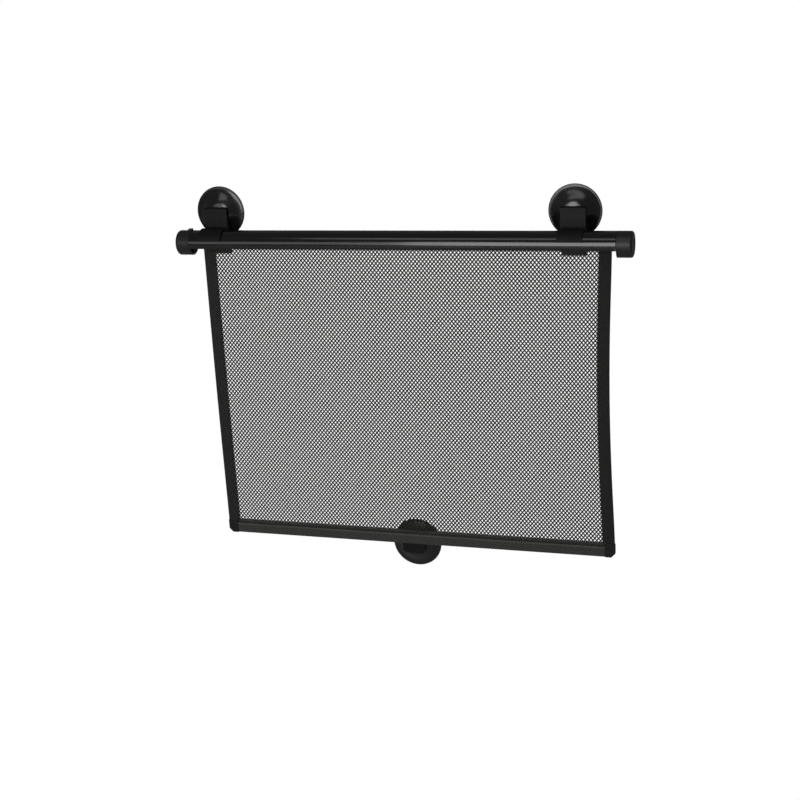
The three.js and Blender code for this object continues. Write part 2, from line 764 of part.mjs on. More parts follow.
addPiece('bar_end_right', barEnd(1), finishes.satinBlack);
addPiece('lower_cup_socket', lowerCupSocket(), finishes.satinBlack);
addPiece('socket_rivet_left', socketRivet(-1), finishes.steel);
addPiece('socket_rivet_right', socketRivet(1), finishes.steel);

export default shade;
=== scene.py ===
import bpy
import bmesh
import math
from mathutils import Matrix, Vector


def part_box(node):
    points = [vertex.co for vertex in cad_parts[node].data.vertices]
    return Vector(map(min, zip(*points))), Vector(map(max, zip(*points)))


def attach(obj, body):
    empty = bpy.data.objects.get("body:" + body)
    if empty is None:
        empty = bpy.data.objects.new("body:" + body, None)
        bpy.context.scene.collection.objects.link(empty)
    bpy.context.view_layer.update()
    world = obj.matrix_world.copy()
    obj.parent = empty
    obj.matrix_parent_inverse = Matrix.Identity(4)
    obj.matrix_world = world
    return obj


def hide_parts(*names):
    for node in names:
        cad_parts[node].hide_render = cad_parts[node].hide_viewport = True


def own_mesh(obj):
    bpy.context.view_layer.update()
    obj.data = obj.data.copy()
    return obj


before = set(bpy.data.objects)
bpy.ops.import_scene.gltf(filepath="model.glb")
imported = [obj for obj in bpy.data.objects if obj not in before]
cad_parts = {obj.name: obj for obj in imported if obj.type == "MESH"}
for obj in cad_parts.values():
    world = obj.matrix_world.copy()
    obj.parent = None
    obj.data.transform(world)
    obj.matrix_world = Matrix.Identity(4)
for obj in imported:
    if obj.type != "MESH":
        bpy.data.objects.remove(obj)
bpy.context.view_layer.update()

# Roller sunshade for a car's side window: every visible piece is modelled here over its frame.
# Metres, +X along the cassette, +Y at the glass, +Z up, the origin on the glass.
mm = 0.001
nearly = 0.001 * mm  # two places nearer than this are one
past = 1 * mm  # how far a cutter reaches beyond what it cuts
print("frame loaded")


# Small helpers for working on one piece at a time

def deselectAll():
    if bpy.context.mode != "OBJECT":
        bpy.ops.object.mode_set(mode="OBJECT")
    bpy.ops.object.select_all(action="DESELECT")


def makeActive(piece):
    deselectAll()
    bpy.context.view_layer.objects.active = piece
    piece.select_set(True)
    return piece


def nameNewest(name):
    piece = bpy.context.object
    piece.name = name
    piece.data.name = name
    return piece


def placeInMesh(piece):
    makeActive(piece)
    bpy.ops.object.transform_apply(location=True, rotation=True, scale=True)
    return piece


def startEdit(piece, mode="FACE"):
    makeActive(piece)
    bpy.ops.object.mode_set(mode="EDIT")
    bpy.ops.mesh.select_mode(type=mode)
    bpy.ops.mesh.select_all(action="DESELECT")


def stopEdit():
    bpy.ops.object.mode_set(mode="OBJECT")


# The three pickers run in edit mode and select by a test on place, and on the normal for faces
def pickVerts(piece, test):
    mesh = bmesh.from_edit_mesh(piece.data)
    for vert in mesh.verts:
        vert.select_set(bool(test(vert.co)))
    mesh.select_flush_mode()
    bmesh.update_edit_mesh(piece.data)


def pickEdges(piece, test):
    mesh = bmesh.from_edit_mesh(piece.data)
    for edge in mesh.edges:
        edge.select_set(bool(test(edge.verts[0].co, edge.verts[1].co)))
    bmesh.update_edit_mesh(piece.data)


def pickFaces(piece, test):
    mesh = bmesh.from_edit_mesh(piece.data)
    for face in mesh.faces:
        face.select_set(bool(test(face.calc_center_median(), face.normal)))
    bmesh.update_edit_mesh(piece.data)


def tidyNormals(piece):
    startEdit(piece, "VERT")
    bpy.ops.mesh.select_all(action="SELECT")
    bpy.ops.mesh.remove_doubles(threshold=nearly)
    bpy.ops.mesh.normals_make_consistent(inside=False)
    stopEdit()
    return piece


def applyModifier(piece, kind, **values):
    makeActive(piece)
    modifier = piece.modifiers.new(kind.title(), kind)
    for key, value in values.items():
        setattr(modifier, key, value)
    bpy.ops.object.modifier_apply(modifier=modifier.name)
    return piece


def joinSolid(piece, other):
    applyModifier(piece, "BOOLEAN", object=other, operation="UNION", solver="EXACT")
    bpy.data.objects.remove(other)
    return piece


def cutSolid(piece, other):
    applyModifier(piece, "BOOLEAN", object=other, operation="DIFFERENCE", solver="EXACT")
    bpy.data.objects.remove(other)
    return piece


def thicken(piece, wall):
    applyModifier(piece, "SOLIDIFY", thickness=wall, offset=0.0)
    return tidyNormals(piece)


def smoothUnder(piece, angle):
    makeActive(piece)
    bpy.ops.object.shade_smooth_by_angle(angle=math.radians(angle))
    return piece


def softenEdges(piece, width, segments, angle):
    tidyNormals(piece)
    applyModifier(piece, "BEVEL", width=width, segments=segments, limit_method="ANGLE",
                  angle_limit=math.radians(angle), use_clamp_overlap=True)
    smoothUnder(piece, angle)
    return applyModifier(piece, "WEIGHTED_NORMAL", keep_sharp=True)


def copyPiece(source, name, shift):
    piece = source.copy()
    piece.data = source.data.copy()
    piece.name = name
    piece.data.name = name
    bpy.context.scene.collection.objects.link(piece)
    piece.data.transform(Matrix.Translation(shift))
    return piece


def cubeBetween(name, low, high):
    deselectAll()
    low, high = Vector(low), Vector(high)
    bpy.ops.mesh.primitive_cube_add(size=1, location=(low + high) / 2)
    piece = nameNewest(name)
    piece.scale = high - low
    return placeInMesh(piece)


def rodBetween(name, radius, start, end, sides=64):
    deselectAll()
    start, end = Vector(start), Vector(end)
    turn = (end - start).to_track_quat("Z", "Y").to_euler()
    bpy.ops.mesh.primitive_cylinder_add(vertices=sides, radius=radius, depth=(end - start).length,
                                        location=(start + end) / 2, rotation=turn)
    return placeInMesh(nameNewest(name))


def drill(piece, radius, start, end, sides=40):
    return cutSolid(piece, rodBetween("drill", radius, start, end, sides))


def matrixFrom(*columns):
    return Matrix([[column[row] for column in columns] for row in range(3)] + [[0, 0, 0, 1]])


# A straight edge of several pieces, drawn sideways through a profile's points one after another
def drawSheet(name, start, end, pieces, profile):
    deselectAll()
    start, end = Vector(start), Vector(end)
    along = end - start
    across = along.normalized().cross(Vector((0.36, 0.48, 0.8))).normalized()
    third = along.normalized().cross(across)
    bpy.ops.mesh.primitive_plane_add(size=1)
    piece = nameNewest(name)
    startEdit(piece, "VERT")
    pickVerts(piece, lambda co: co.y < 0)
    bpy.ops.mesh.delete(type="VERT")
    bpy.ops.mesh.select_all(action="SELECT")
    bpy.ops.mesh.subdivide(number_cuts=max(pieces - 1, 1))
    stopEdit()
    middle = (start + end) / 2 - across / 2
    piece.matrix_world = matrixFrom(along, across, third, middle)
    placeInMesh(piece)
    startEdit(piece, "EDGE")
    bpy.ops.mesh.select_all(action="SELECT")
    for before, after in zip(profile, profile[1:]):
        bpy.ops.mesh.extrude_region_move(TRANSFORM_OT_translate={"value": Vector(after) - Vector(before)})
    stopEdit()
    return piece


# Rings grown from one another along Z through [radius, height], both ends closed with a face
def growRings(name, profile, sides=96):
    deselectAll()
    radius, height = profile[0]
    bpy.ops.mesh.primitive_circle_add(vertices=sides, radius=radius, fill_type="NGON",
                                      location=(0, 0, height))
    piece = placeInMesh(nameNewest(name))
    startEdit(piece, "EDGE")
    bpy.ops.mesh.select_all(action="SELECT")
    for nextRadius, nextHeight in profile[1:]:
        bpy.ops.mesh.extrude_edges_move(TRANSFORM_OT_translate={"value": (0, 0, nextHeight - height)})
        scale = nextRadius / radius
        bpy.ops.transform.resize(value=(scale, scale, 1), center_override=(0, 0, nextHeight))
        radius, height = nextRadius, nextHeight
    bpy.ops.mesh.edge_face_add()
    stopEdit()
    return tidyNormals(piece)


def curvePoints(a, b, c, d, steps):
    points = []
    for i in range(steps + 1):
        t = i / steps
        s = 1 - t
        points.append([s ** 3 * p + 3 * s * s * t * q + 3 * s * t * t * u + t ** 3 * v
                       for p, q, u, v in zip(a, b, c, d)])
    return points


def arcPoints(centre, radius, start, end, steps):
    points = []
    for i in range(steps + 1):
        angle = math.radians(start + (end - start) * i / steps)
        points.append((centre[0] + radius * math.cos(angle), centre[1] + radius * math.sin(angle)))
    return points


def nodeBox(name):
    low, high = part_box(name)
    return Vector(low), Vector(high)


# Where a node's middle is, along X and along Z
def middleOf(name):
    low, high = nodeBox(name)
    return (low.x + high.x) / 2, (low.z + high.z) / 2


# Places read from the frame
tubeLow, tubeHigh = nodeBox("roller_tube")
axis = (tubeLow + tubeHigh) / 2
shellLow, shellHigh = nodeBox("housing_shell")
shellRadius = shellHigh.z - axis.z
panelLow, panelHigh = nodeBox("mesh_panel")
hemLow, hemHigh = nodeBox("hem_pocket")
barLow, barHigh = nodeBox("bottom_bar")
barCentre = (barLow + barHigh) / 2
clothY = barCentre.y
clothHalf = nodeBox("side_tape_right")[1].x
seamZ = hemHigh.z - 2.1 * mm  # the hem's stitch line
print("places read")


# Shader nodes

def addNode(tree, kind, **values):
    node = tree.nodes.new(kind)
    for key, value in values.items():
        setattr(node, key, value)
    return node


def feed(tree, socket, value):
    if isinstance(value, bpy.types.NodeSocket):
        tree.links.new(value, socket)
    else:
        socket.default_value = value


def mathNode(tree, operation, first, second=0.0):
    node = addNode(tree, "ShaderNodeMath", operation=operation)
    feed(tree, node.inputs[0], first)
    feed(tree, node.inputs[1], second)
    return node.outputs[0]


def rangeNode(tree, value, fromLow, fromHigh, toLow=0.0, toHigh=1.0, smooth=False):
    node = addNode(tree, "ShaderNodeMapRange", interpolation_type="SMOOTHSTEP" if smooth else "LINEAR")
    for index, entry in enumerate((value, fromLow, fromHigh, toLow, toHigh)):
        feed(tree, node.inputs[index], entry)
    return node.outputs[0]


def noiseNode(tree, vector, scale, detail=2.0, roughness=0.5):
    node = addNode(tree, "ShaderNodeTexNoise")
    feed(tree, node.inputs["Vector"], vector)
    feed(tree, node.inputs["Scale"], scale)
    feed(tree, node.inputs["Detail"], detail)
    feed(tree, node.inputs["Roughness"], roughness)
    return node.outputs["Fac"]


def mixColour(tree, factor, first, second):
    node = addNode(tree, "ShaderNodeMix", data_type="RGBA")
    feed(tree, node.inputs[0], factor)
    feed(tree, node.inputs[6], first)
    feed(tree, node.inputs[7], second)
    return node.outputs[2]


def objectPlace(tree):
    return addNode(tree, "ShaderNodeTexCoord").outputs["Object"]


def stretched(tree, vector, x, y, z):
    node = addNode(tree, "ShaderNodeMapping")
    feed(tree, node.inputs["Vector"], vector)
    node.inputs["Scale"].default_value = (x, y, z)
    return node.outputs["Vector"]


def newGroup(name, inputs, outputs):
    tree = bpy.data.node_groups.new(name, "ShaderNodeTree")
    for label, value in inputs.items():
        socket = tree.interface.new_socket(name=label, in_out="INPUT", socket_type="NodeSocketFloat")
        socket.default_value = value
    for label in outputs:
        tree.interface.new_socket(name=label, in_out="OUTPUT", socket_type="NodeSocketFloat")
    source = addNode(tree, "NodeGroupInput")
    sink = addNode(tree, "NodeGroupOutput")
    return tree, source, sink


def useGroup(tree, group, **values):
    node = addNode(tree, "ShaderNodeGroup", node_tree=group)
    for label, value in values.items():
        feed(tree, node.inputs[label], value)
    return node


# Spark-eroded mould skin: fine pits over a slow unevenness
def makeMouldSkin():
    tree, source, sink = newGroup("mouldSkin", {"Grain": 2600.0, "Pits": 0.5}, ["Height", "Tone"])
    place = objectPlace(tree)
    fine = noiseNode(tree, place, source.outputs["Grain"], 3.0, 0.6)
    slow = noiseNode(tree, place, 90.0, 2.0, 0.5)
    pitted = rangeNode(tree, fine, 0.35, 0.65, 0.0, 1.0, True)
    height = mathNode(tree, "MULTIPLY", pitted, source.outputs["Pits"])
    tree.links.new(mathNode(tree, "ADD", height, slow), sink.inputs["Height"])
    tree.links.new(mathNode(tree, "MULTIPLY", fine, slow), sink.inputs["Tone"])
    return tree


# What handling leaves: broad smears and settled specks of dust
def makeHandling():
    tree, source, sink = newGroup("handlingMarks", {"Smears": 0.5, "Dust": 0.3}, ["Smear", "Speck"])
    place = objectPlace(tree)
    broad = noiseNode(tree, stretched(tree, place, 1.0, 1.0, 2.4), 22.0, 4.0, 0.62)
    smear = rangeNode(tree, broad, 0.42, 0.72, 0.0, 1.0, True)
    specks = addNode(tree, "ShaderNodeTexVoronoi")
    feed(tree, specks.inputs["Vector"], place)
    specks.inputs["Scale"].default_value = 620.0
    near = rangeNode(tree, specks.outputs["Distance"], 0.06, 0.16, 1.0, 0.0, True)
    patch = rangeNode(tree, noiseNode(tree, place, 60.0, 2.0), 0.5, 0.72, 0.0, 1.0, True)
    speck = mathNode(tree, "MULTIPLY", near, patch)
    tree.links.new(mathNode(tree, "MULTIPLY", smear, source.outputs["Smears"]), sink.inputs["Smear"])
    tree.links.new(mathNode(tree, "MULTIPLY", speck, source.outputs["Dust"]), sink.inputs["Speck"])
    return tree


# Diamond net from two places on the cloth: thread lines lean both ways and cross at the knots
def makeNetCloth():
    tree, source, sink = newGroup("netCloth", {"Across": 0.0, "Down": 0.0, "Wide": 3.7 * mm,
                                               "High": 4.4 * mm, "Thread": 0.4}, ["Cover", "Height"])
    u = mathNode(tree, "DIVIDE", source.outputs["Across"], source.outputs["Wide"])
    v = mathNode(tree, "DIVIDE", source.outputs["Down"], source.outputs["High"])
    lines = []
    for lean in ("ADD", "SUBTRACT"):
        phase = mathNode(tree, "FRACT", mathNode(tree, lean, u, v))
        apart = mathNode(tree, "ABSOLUTE", mathNode(tree, "SUBTRACT", phase, 0.5))
        lines.append(mathNode(tree, "MULTIPLY", apart, 2.0))
    nearest = mathNode(tree, "MAXIMUM", *lines)
    edge = mathNode(tree, "SUBTRACT", 1.0, source.outputs["Thread"])
    cover = rangeNode(tree, nearest, mathNode(tree, "SUBTRACT", edge, 0.06), edge, 0.0, 1.0, True)
    crown = rangeNode(tree, nearest, edge, 1.0, 0.0, 1.0, True)
    knots = mathNode(tree, "MULTIPLY", *lines)
    height = mathNode(tree, "ADD", crown, mathNode(tree, "MULTIPLY", knots, 0.35))
    tree.links.new(cover, sink.inputs["Cover"])
    tree.links.new(height, sink.inputs["Height"])
    return tree


# Plain weave seen close: threads over and under one another in both directions
def makeTapeWeave():
    tree, source, sink = newGroup("tapeWeave", {"Across": 0.0, "Down": 0.0, "Pitch": 0.55 * mm},
                                  ["Height", "Shade"])
    waves = []
    for label in ("Across", "Down"):
        turns = mathNode(tree, "DIVIDE", source.outputs[label], source.outputs["Pitch"])
        waves.append(mathNode(tree, "SINE", mathNode(tree, "MULTIPLY", turns, math.pi)))
    product = mathNode(tree, "MULTIPLY", *waves)
    warp = mathNode(tree, "ABSOLUTE", waves[0])
    weft = mathNode(tree, "ABSOLUTE", waves[1])
    over = rangeNode(tree, product, -0.2, 0.2, 0.0, 1.0, True)
    under = mathNode(tree, "SUBTRACT", 1.0, over)
    crowns = [mathNode(tree, "MULTIPLY", warp, over), mathNode(tree, "MULTIPLY", weft, under)]
    height = mathNode(tree, "ADD", *crowns)
    tree.links.new(height, sink.inputs["Height"])
    # Shade is painted light and shade: the crowns of the yarns come out lighter, the hollows between them
    # darker
    tree.links.new(mathNode(tree, "MULTIPLY", height, height), sink.inputs["Shade"])
    return tree


mouldSkin = makeMouldSkin()
handlingMarks = makeHandling()
netCloth = makeNetCloth()
tapeWeave = makeTapeWeave()
print("shared node groups ready")


def newFinish(name, **constants):
    material = bpy.data.materials.new(name)
    material.use_nodes = True
    tree = material.node_tree
    tree.nodes.clear()
    shader = addNode(tree, "ShaderNodeBsdfPrincipled")
    sink = addNode(tree, "ShaderNodeOutputMaterial")
    tree.links.new(shader.outputs["BSDF"], sink.inputs["Surface"])
    for label, value in constants.items():
        shader.inputs[label.replace("_", " ")].default_value = value
    return material, tree, shader


def dress(tree, shader, colour, rough, height, distance):
    tree.links.new(colour, shader.inputs["Base Color"])
    tree.links.new(rough, shader.inputs["Roughness"])
    bump = addNode(tree, "ShaderNodeBump")
    bump.inputs["Distance"].default_value = distance
    feed(tree, bump.inputs["Height"], height)
    tree.links.new(bump.outputs["Normal"], shader.inputs["Normal"])


def splitPlace(tree):
    node = addNode(tree, "ShaderNodeSeparateXYZ")
    feed(tree, node.inputs[0], objectPlace(tree))
    return node.outputs["X"], node.outputs["Y"], node.outputs["Z"]


# Glossy black extrusion: faint draw lines along it, smears that dull the gloss a little
def makeShellGloss():
    material, tree, shader = newFinish("shellGloss", Coat_Weight=0.35, Coat_Roughness=0.06, IOR=1.49)
    marks = useGroup(tree, handlingMarks, Smears=0.6, Dust=0.5)
    draw = noiseNode(tree, stretched(tree, objectPlace(tree), 1.5, 260.0, 260.0), 3.0, 3.0, 0.55)
    tone = mixColour(tree, draw, (0.0040, 0.0035, 0.0031, 1), (0.0064, 0.0057, 0.0050, 1))
    dusty = mixColour(tree, marks.outputs["Speck"], tone, (0.10, 0.094, 0.083, 1))
    dull = rangeNode(tree, marks.outputs["Smear"], 0.0, 1.0, 0.13, 0.24)
    rough = mathNode(tree, "ADD", dull, mathNode(tree, "MULTIPLY", draw, 0.05))
    dress(tree, shader, dusty, rough, draw, 0.06 * mm)
    return material


# Satin moulding with a fine eroded skin, for caps, clips, bar ends and the lower socket
def makeMouldedSatin(name, dark, light, rough, shine=0.5):
    material, tree, shader = newFinish(name, IOR=1.47, Specular_IOR_Level=shine)
    skin = useGroup(tree, mouldSkin, Grain=2600.0, Pits=0.6)
    marks = useGroup(tree, handlingMarks, Smears=0.5, Dust=0.6)
    tone = mixColour(tree, skin.outputs["Tone"], dark, light)
    dusty = mixColour(tree, marks.outputs["Speck"], tone, (0.09, 0.085, 0.076, 1))
    wearAndPaintedSheen = rangeNode(tree, marks.outputs["Smear"], 0.0, 1.0, rough, rough - 0.09)
    dress(tree, shader, dusty, wearAndPaintedSheen, skin.outputs["Height"], 0.04 * mm)
    return material


# Semi-gloss cup rubber: turned flow rings, bloom in patches, dust that clings
def makeCupRubber():
    material, tree, shader = newFinish("cupRubber", IOR=1.5, Coat_Weight=0.6, Coat_Roughness=0.12)
    skin = useGroup(tree, mouldSkin, Grain=1500.0, Pits=0.3)
    marks = useGroup(tree, handlingMarks, Smears=0.8, Dust=0.9)
    tone = mixColour(tree, marks.outputs["Smear"], (0.0042, 0.0038, 0.0035, 1), (0.0095, 0.0090, 0.0085, 1))
    dusty = mixColour(tree, marks.outputs["Speck"], tone, (0.12, 0.115, 0.105, 1))
    rough = rangeNode(tree, marks.outputs["Smear"], 0.0, 1.0, 0.22, 0.38)
    dress(tree, shader, dusty, rough, skin.outputs["Height"], 0.05 * mm)
    return material


# Coated net thread: filaments lie along it and catch a little sheen
def makeMeshThread():
    material, tree, shader = newFinish("meshThread", Sheen_Weight=0.1, Sheen_Roughness=0.45)
    x, y, z = splitPlace(tree)
    place = objectPlace(tree)
    filament = noiseNode(tree, stretched(tree, place, 1.0, 1.0, 0.25), 5200.0, 2.0, 0.6)
    drift = noiseNode(tree, place, 34.0, 3.0, 0.55)
    net = useGroup(tree, netCloth, Across=x, Down=z, Thread=0.36)
    tone = mixColour(tree, filament, (0.0080, 0.0070, 0.0054, 1), (0.0190, 0.0170, 0.0132, 1))
    tone = mixColour(tree, mathNode(tree, "MULTIPLY", drift, 0.55), tone, (0.024, 0.0218, 0.0178, 1))
    rough = rangeNode(tree, drift, 0.3, 0.7, 0.46, 0.62)
    height = mathNode(tree, "ADD", net.outputs["Height"], mathNode(tree, "MULTIPLY", filament, 0.3))
    dress(tree, shader, tone, rough, height, 0.18 * mm)
    return material


# Doubled net of the hem: the same diamonds, with the layer behind showing dark between the threads. The front
# threads are painted several times lighter than the same thread in the panel, as painted sheen. The layer
# behind is painted darker than the front threads and the gaps through both layers near black, as painted
# shade
def makeHemCloth():
    material, tree, shader = newFinish("hemCloth", Sheen_Weight=0.2, Sheen_Roughness=0.4)
    x, y, z = splitPlace(tree)
    place = objectPlace(tree)
    filament = noiseNode(tree, stretched(tree, place, 1.0, 1.0, 0.3), 5200.0, 2.0, 0.6)
    drift = noiseNode(tree, place, 48.0, 3.0, 0.55)
    front = useGroup(tree, netCloth, Across=x, Down=z, Thread=0.42)
    shifted = mathNode(tree, "ADD", x, 0.0011)
    behind = useGroup(tree, netCloth, Across=shifted, Down=z, Thread=0.42)
    # painted shade: the layer behind is darker than the front threads, and the gaps through both layers are
    # darker still
    rear = mixColour(tree, behind.outputs["Cover"], (0.0085, 0.0079, 0.0070, 1), (0.030, 0.0282, 0.025, 1))
    # painted sheen: the front threads are several times lighter than the panel's thread, and lighter still in
    # wandering patches
    thread = mixColour(tree, filament, (0.033, 0.031, 0.028, 1), (0.064, 0.061, 0.056, 1))
    thread = mixColour(tree, mathNode(tree, "MULTIPLY", drift, 0.5), thread, (0.100, 0.095, 0.089, 1))
    cloth = mixColour(tree, front.outputs["Cover"], rear, thread)
    # The needle's row lies in a crease painted dark as painted shade, with a painted highlight along the fold
    # under it
    crease = mathNode(tree, "ABSOLUTE", mathNode(tree, "SUBTRACT", z, seamZ))
    paintedCreaseShade = rangeNode(tree, crease, 0.5 * mm, 1.3 * mm, 0.88, 0.0, True)
    cloth = mixColour(tree, paintedCreaseShade, cloth, (0.006, 0.0055, 0.005, 1))
    fold = mathNode(tree, "ABSOLUTE", mathNode(tree, "SUBTRACT", z, seamZ - 1.9 * mm))
    wearAndPaintedSheen = mathNode(tree, "MULTIPLY", rangeNode(tree, fold, 0.2 * mm, 0.9 * mm, 0.9, 0.0, True), drift)
    cloth = mixColour(tree, wearAndPaintedSheen, cloth, (0.15, 0.144, 0.136, 1))
    rough = rangeNode(tree, drift, 0.3, 0.7, 0.42, 0.58)
    deeper = mathNode(tree, "MULTIPLY", behind.outputs["Height"], 0.35)
    height = mathNode(tree, "ADD", front.outputs["Height"], deeper)
    dress(tree, shader, cloth, rough, height, 0.22 * mm)
    return material


# The same cloth wound up: its pattern follows the turn about the roller, and the gaps between its threads are
# painted near black as painted shade inside the roll
def makeRolledCloth():
    material, tree, shader = newFinish("rolledCloth", Sheen_Weight=0.25, Sheen_Roughness=0.45)
    x, y, z = splitPlace(tree)
    up = mathNode(tree, "SUBTRACT", z, axis.z)
    back = mathNode(tree, "SUBTRACT", y, axis.y)
    woundRadius = 5.6 * mm
    around = mathNode(tree, "MULTIPLY", mathNode(tree, "ARCTAN2", up, back), woundRadius)
    net = useGroup(tree, netCloth, Across=x, Down=around, Thread=0.42)
    filament = noiseNode(tree, objectPlace(tree), 4800.0, 2.0, 0.6)
    thread = mixColour(tree, filament, (0.012, 0.011, 0.009, 1), (0.027, 0.025, 0.021, 1))
    # painted shade: the gaps between the threads are near black
    cloth = mixColour(tree, net.outputs["Cover"], (0.004, 0.0036, 0.003, 1), thread)
    rough = rangeNode(tree, filament, 0.3, 0.7, 0.5, 0.64)
    dress(tree, shader, cloth, rough, net.outputs["Height"], 0.2 * mm)
    return material


# Woven binding tape: dark yarns with a slight shine on their crowns, from a lower roughness there and from a
# painted highlight that lightens the crowns, with painted shade in the hollows
def makeTapeCloth():
    material, tree, shader = newFinish("tapeCloth", Sheen_Weight=0.15, Sheen_Roughness=0.35)
    x, y, z = splitPlace(tree)
    weave = useGroup(tree, tapeWeave, Across=mathNode(tree, "ADD", x, y), Down=z, Pitch=0.6 * mm)
    drift = noiseNode(tree, objectPlace(tree), 60.0, 3.0, 0.6)
    # painted highlight and shade: yarn crowns lighter, hollows between them darker
    yarn = mixColour(tree, weave.outputs["Shade"], (0.0045, 0.0040, 0.0034, 1), (0.0160, 0.0148, 0.0130, 1))
    yarn = mixColour(tree, mathNode(tree, "MULTIPLY", drift, 0.35), yarn, (0.022, 0.0205, 0.018, 1))
    rough = rangeNode(tree, weave.outputs["Height"], 0.0, 1.0, 0.7, 0.46)
    dress(tree, shader, yarn, rough, weave.outputs["Height"], 0.16 * mm)
    return material


def makeStitchThread():
    material, tree, shader = newFinish("stitchThread", Sheen_Weight=0.4, Sheen_Roughness=0.4)
    twist = noiseNode(tree, objectPlace(tree), 3600.0, 2.0, 0.6)
    tone = mixColour(tree, twist, (0.008, 0.0075, 0.0065, 1), (0.03, 0.028, 0.025, 1))
    dress(tree, shader, tone, rangeNode(tree, twist, 0.3, 0.7, 0.42, 0.6), twist, 0.08 * mm)
    return material


# Metals: drawn lines along X, with roughness and tint that wander
def makeDrawnMetal(name, dark, light, rough):
    material, tree, shader = newFinish(name)
    place = objectPlace(tree)
    lines = noiseNode(tree, stretched(tree, place, 2.0, 900.0, 900.0), 4.0, 3.0, 0.6)
    patches = noiseNode(tree, place, 130.0, 3.0, 0.6)
    wearAndPaintedSheen = rangeNode(tree, patches, 0.3, 0.7, rough - 0.07, rough + 0.09)
    tree.links.new(rangeNode(tree, patches, 0.2, 0.5, 0.94, 1.0), shader.inputs["Metallic"])
    dress(tree, shader, mixColour(tree, lines, dark, light), wearAndPaintedSheen, lines, 0.03 * mm)
    return material


def makeBushPlastic():
    material, tree, shader = newFinish("bushPlastic", IOR=1.48, Subsurface_Weight=0.08)
    skin = useGroup(tree, mouldSkin, Grain=1800.0, Pits=0.4)
    marks = useGroup(tree, handlingMarks, Smears=0.4, Dust=0.4)
    tone = mixColour(tree, skin.outputs["Tone"], (0.62, 0.60, 0.54, 1), (0.74, 0.72, 0.66, 1))
    greased = mixColour(tree, marks.outputs["Smear"], tone, (0.46, 0.44, 0.38, 1))
    rough = rangeNode(tree, marks.outputs["Smear"], 0.0, 1.0, 0.46, 0.3)
    dress(tree, shader, greased, rough, skin.outputs["Height"], 0.04 * mm)
    return material


shellGloss = makeShellGloss()
capSatin = makeMouldedSatin("capSatin", (0.012, 0.0113, 0.0103, 1), (0.024, 0.0228, 0.021, 1), 0.37, 0.6)
clipSatin = makeMouldedSatin("clipSatin", (0.0045, 0.0041, 0.0037, 1), (0.0090, 0.0083, 0.0075, 1), 0.52, 0.3)
barEndSatin = makeMouldedSatin("barEndSatin", (0.0045, 0.0042, 0.0038, 1), (0.0085, 0.0080, 0.0073, 1), 0.46)
cupRubber = makeCupRubber()
meshThread = makeMeshThread()
hemCloth = makeHemCloth()
rolledCloth = makeRolledCloth()
tapeCloth = makeTapeCloth()
stitchThread = makeStitchThread()
springSteel = makeDrawnMetal("springSteel", (0.36, 0.36, 0.37, 1), (0.52, 0.52, 0.53, 1), 0.32)
plainSteel = makeDrawnMetal("plainSteel", (0.42, 0.42, 0.42, 1), (0.58, 0.58, 0.59, 1), 0.3)
tubeAluminium = makeDrawnMetal("tubeAluminium", (0.58, 0.59, 0.60, 1), (0.72, 0.73, 0.74, 1), 0.36)
bushPlastic = makeBushPlastic()
print("finishes ready")


def finishPiece(piece, material, slotName, body, *nodes):
    piece.data.materials.clear()
    piece.data.materials.append(material)
    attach(piece, body)
    if nodes:
        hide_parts(*nodes)


def refinishNode(name, material):
    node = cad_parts[name]
    node.data.materials.clear()
    node.data.materials.append(material)


# Cassette shell: a drawn C section, closed at both lower edges with a rolled bead
cassette = {
    "wall": 1.0 * mm,
    "opening": 18.3,  # degrees under the level, front and rear
    "bead": 0.9 * mm,
    "arcSteps": 144,
    "lengths": 48,
    "edge": 0.22 * mm,
}


def buildShell():
    middle = shellRadius - cassette["wall"] / 2
    opening = cassette["opening"]
    around = arcPoints((axis.y, axis.z), middle, -opening, 180 + opening, cassette["arcSteps"])
    profile = [(shellLow.x, y, z) for y, z in around]
    first = Vector(profile[0])
    shell = drawSheet("cassetteShell", first, first + Vector((shellHigh.x - shellLow.x, 0, 0)),
                      cassette["lengths"], profile)
    thicken(shell, cassette["wall"])
    for side in (-1, 1):
        reach = shellRadius - cassette["bead"]
        y = axis.y + side * reach * math.cos(math.radians(cassette["opening"]))
        z = axis.z - reach * math.sin(math.radians(cassette["opening"]))
        bead = rodBetween("bead", cassette["bead"], (shellLow.x, y, z), (shellHigh.x, y, z), 24)
        joinSolid(shell, bead)
    softenEdges(shell, cassette["edge"], 2, 50)
    finishPiece(shell, shellGloss, "gloss_black_shell", "cassette", "housing_shell")


buildShell()
print("cassette shell built")


# End caps: cored mouldings with a rounded, dished outer face, hub, ribs and spigot
cap = {
    "length": 14.5 * mm,
    "round": 2.4 * mm,
    "dish": 0.5 * mm,
    "rim": 2.0 * mm,
    "wall": 2.0 * mm,
    "endWall": 4.0 * mm,
    "hub": 3.6 * mm,
    "hubReach": 4.1 * mm,
    "rib": 1.2 * mm,
    "bore": 1.8 * mm,
    "spigot": 8.0 * mm,
    "spigotWall": 1.6 * mm,
    "groove": 0.35 * mm,
    "grooveIn": 0.8 * mm,
    "tab": (3.6 * mm, 4.0 * mm, 1.6 * mm),  # along X, along Y, above the cap
    "edge": 0.25 * mm,
}


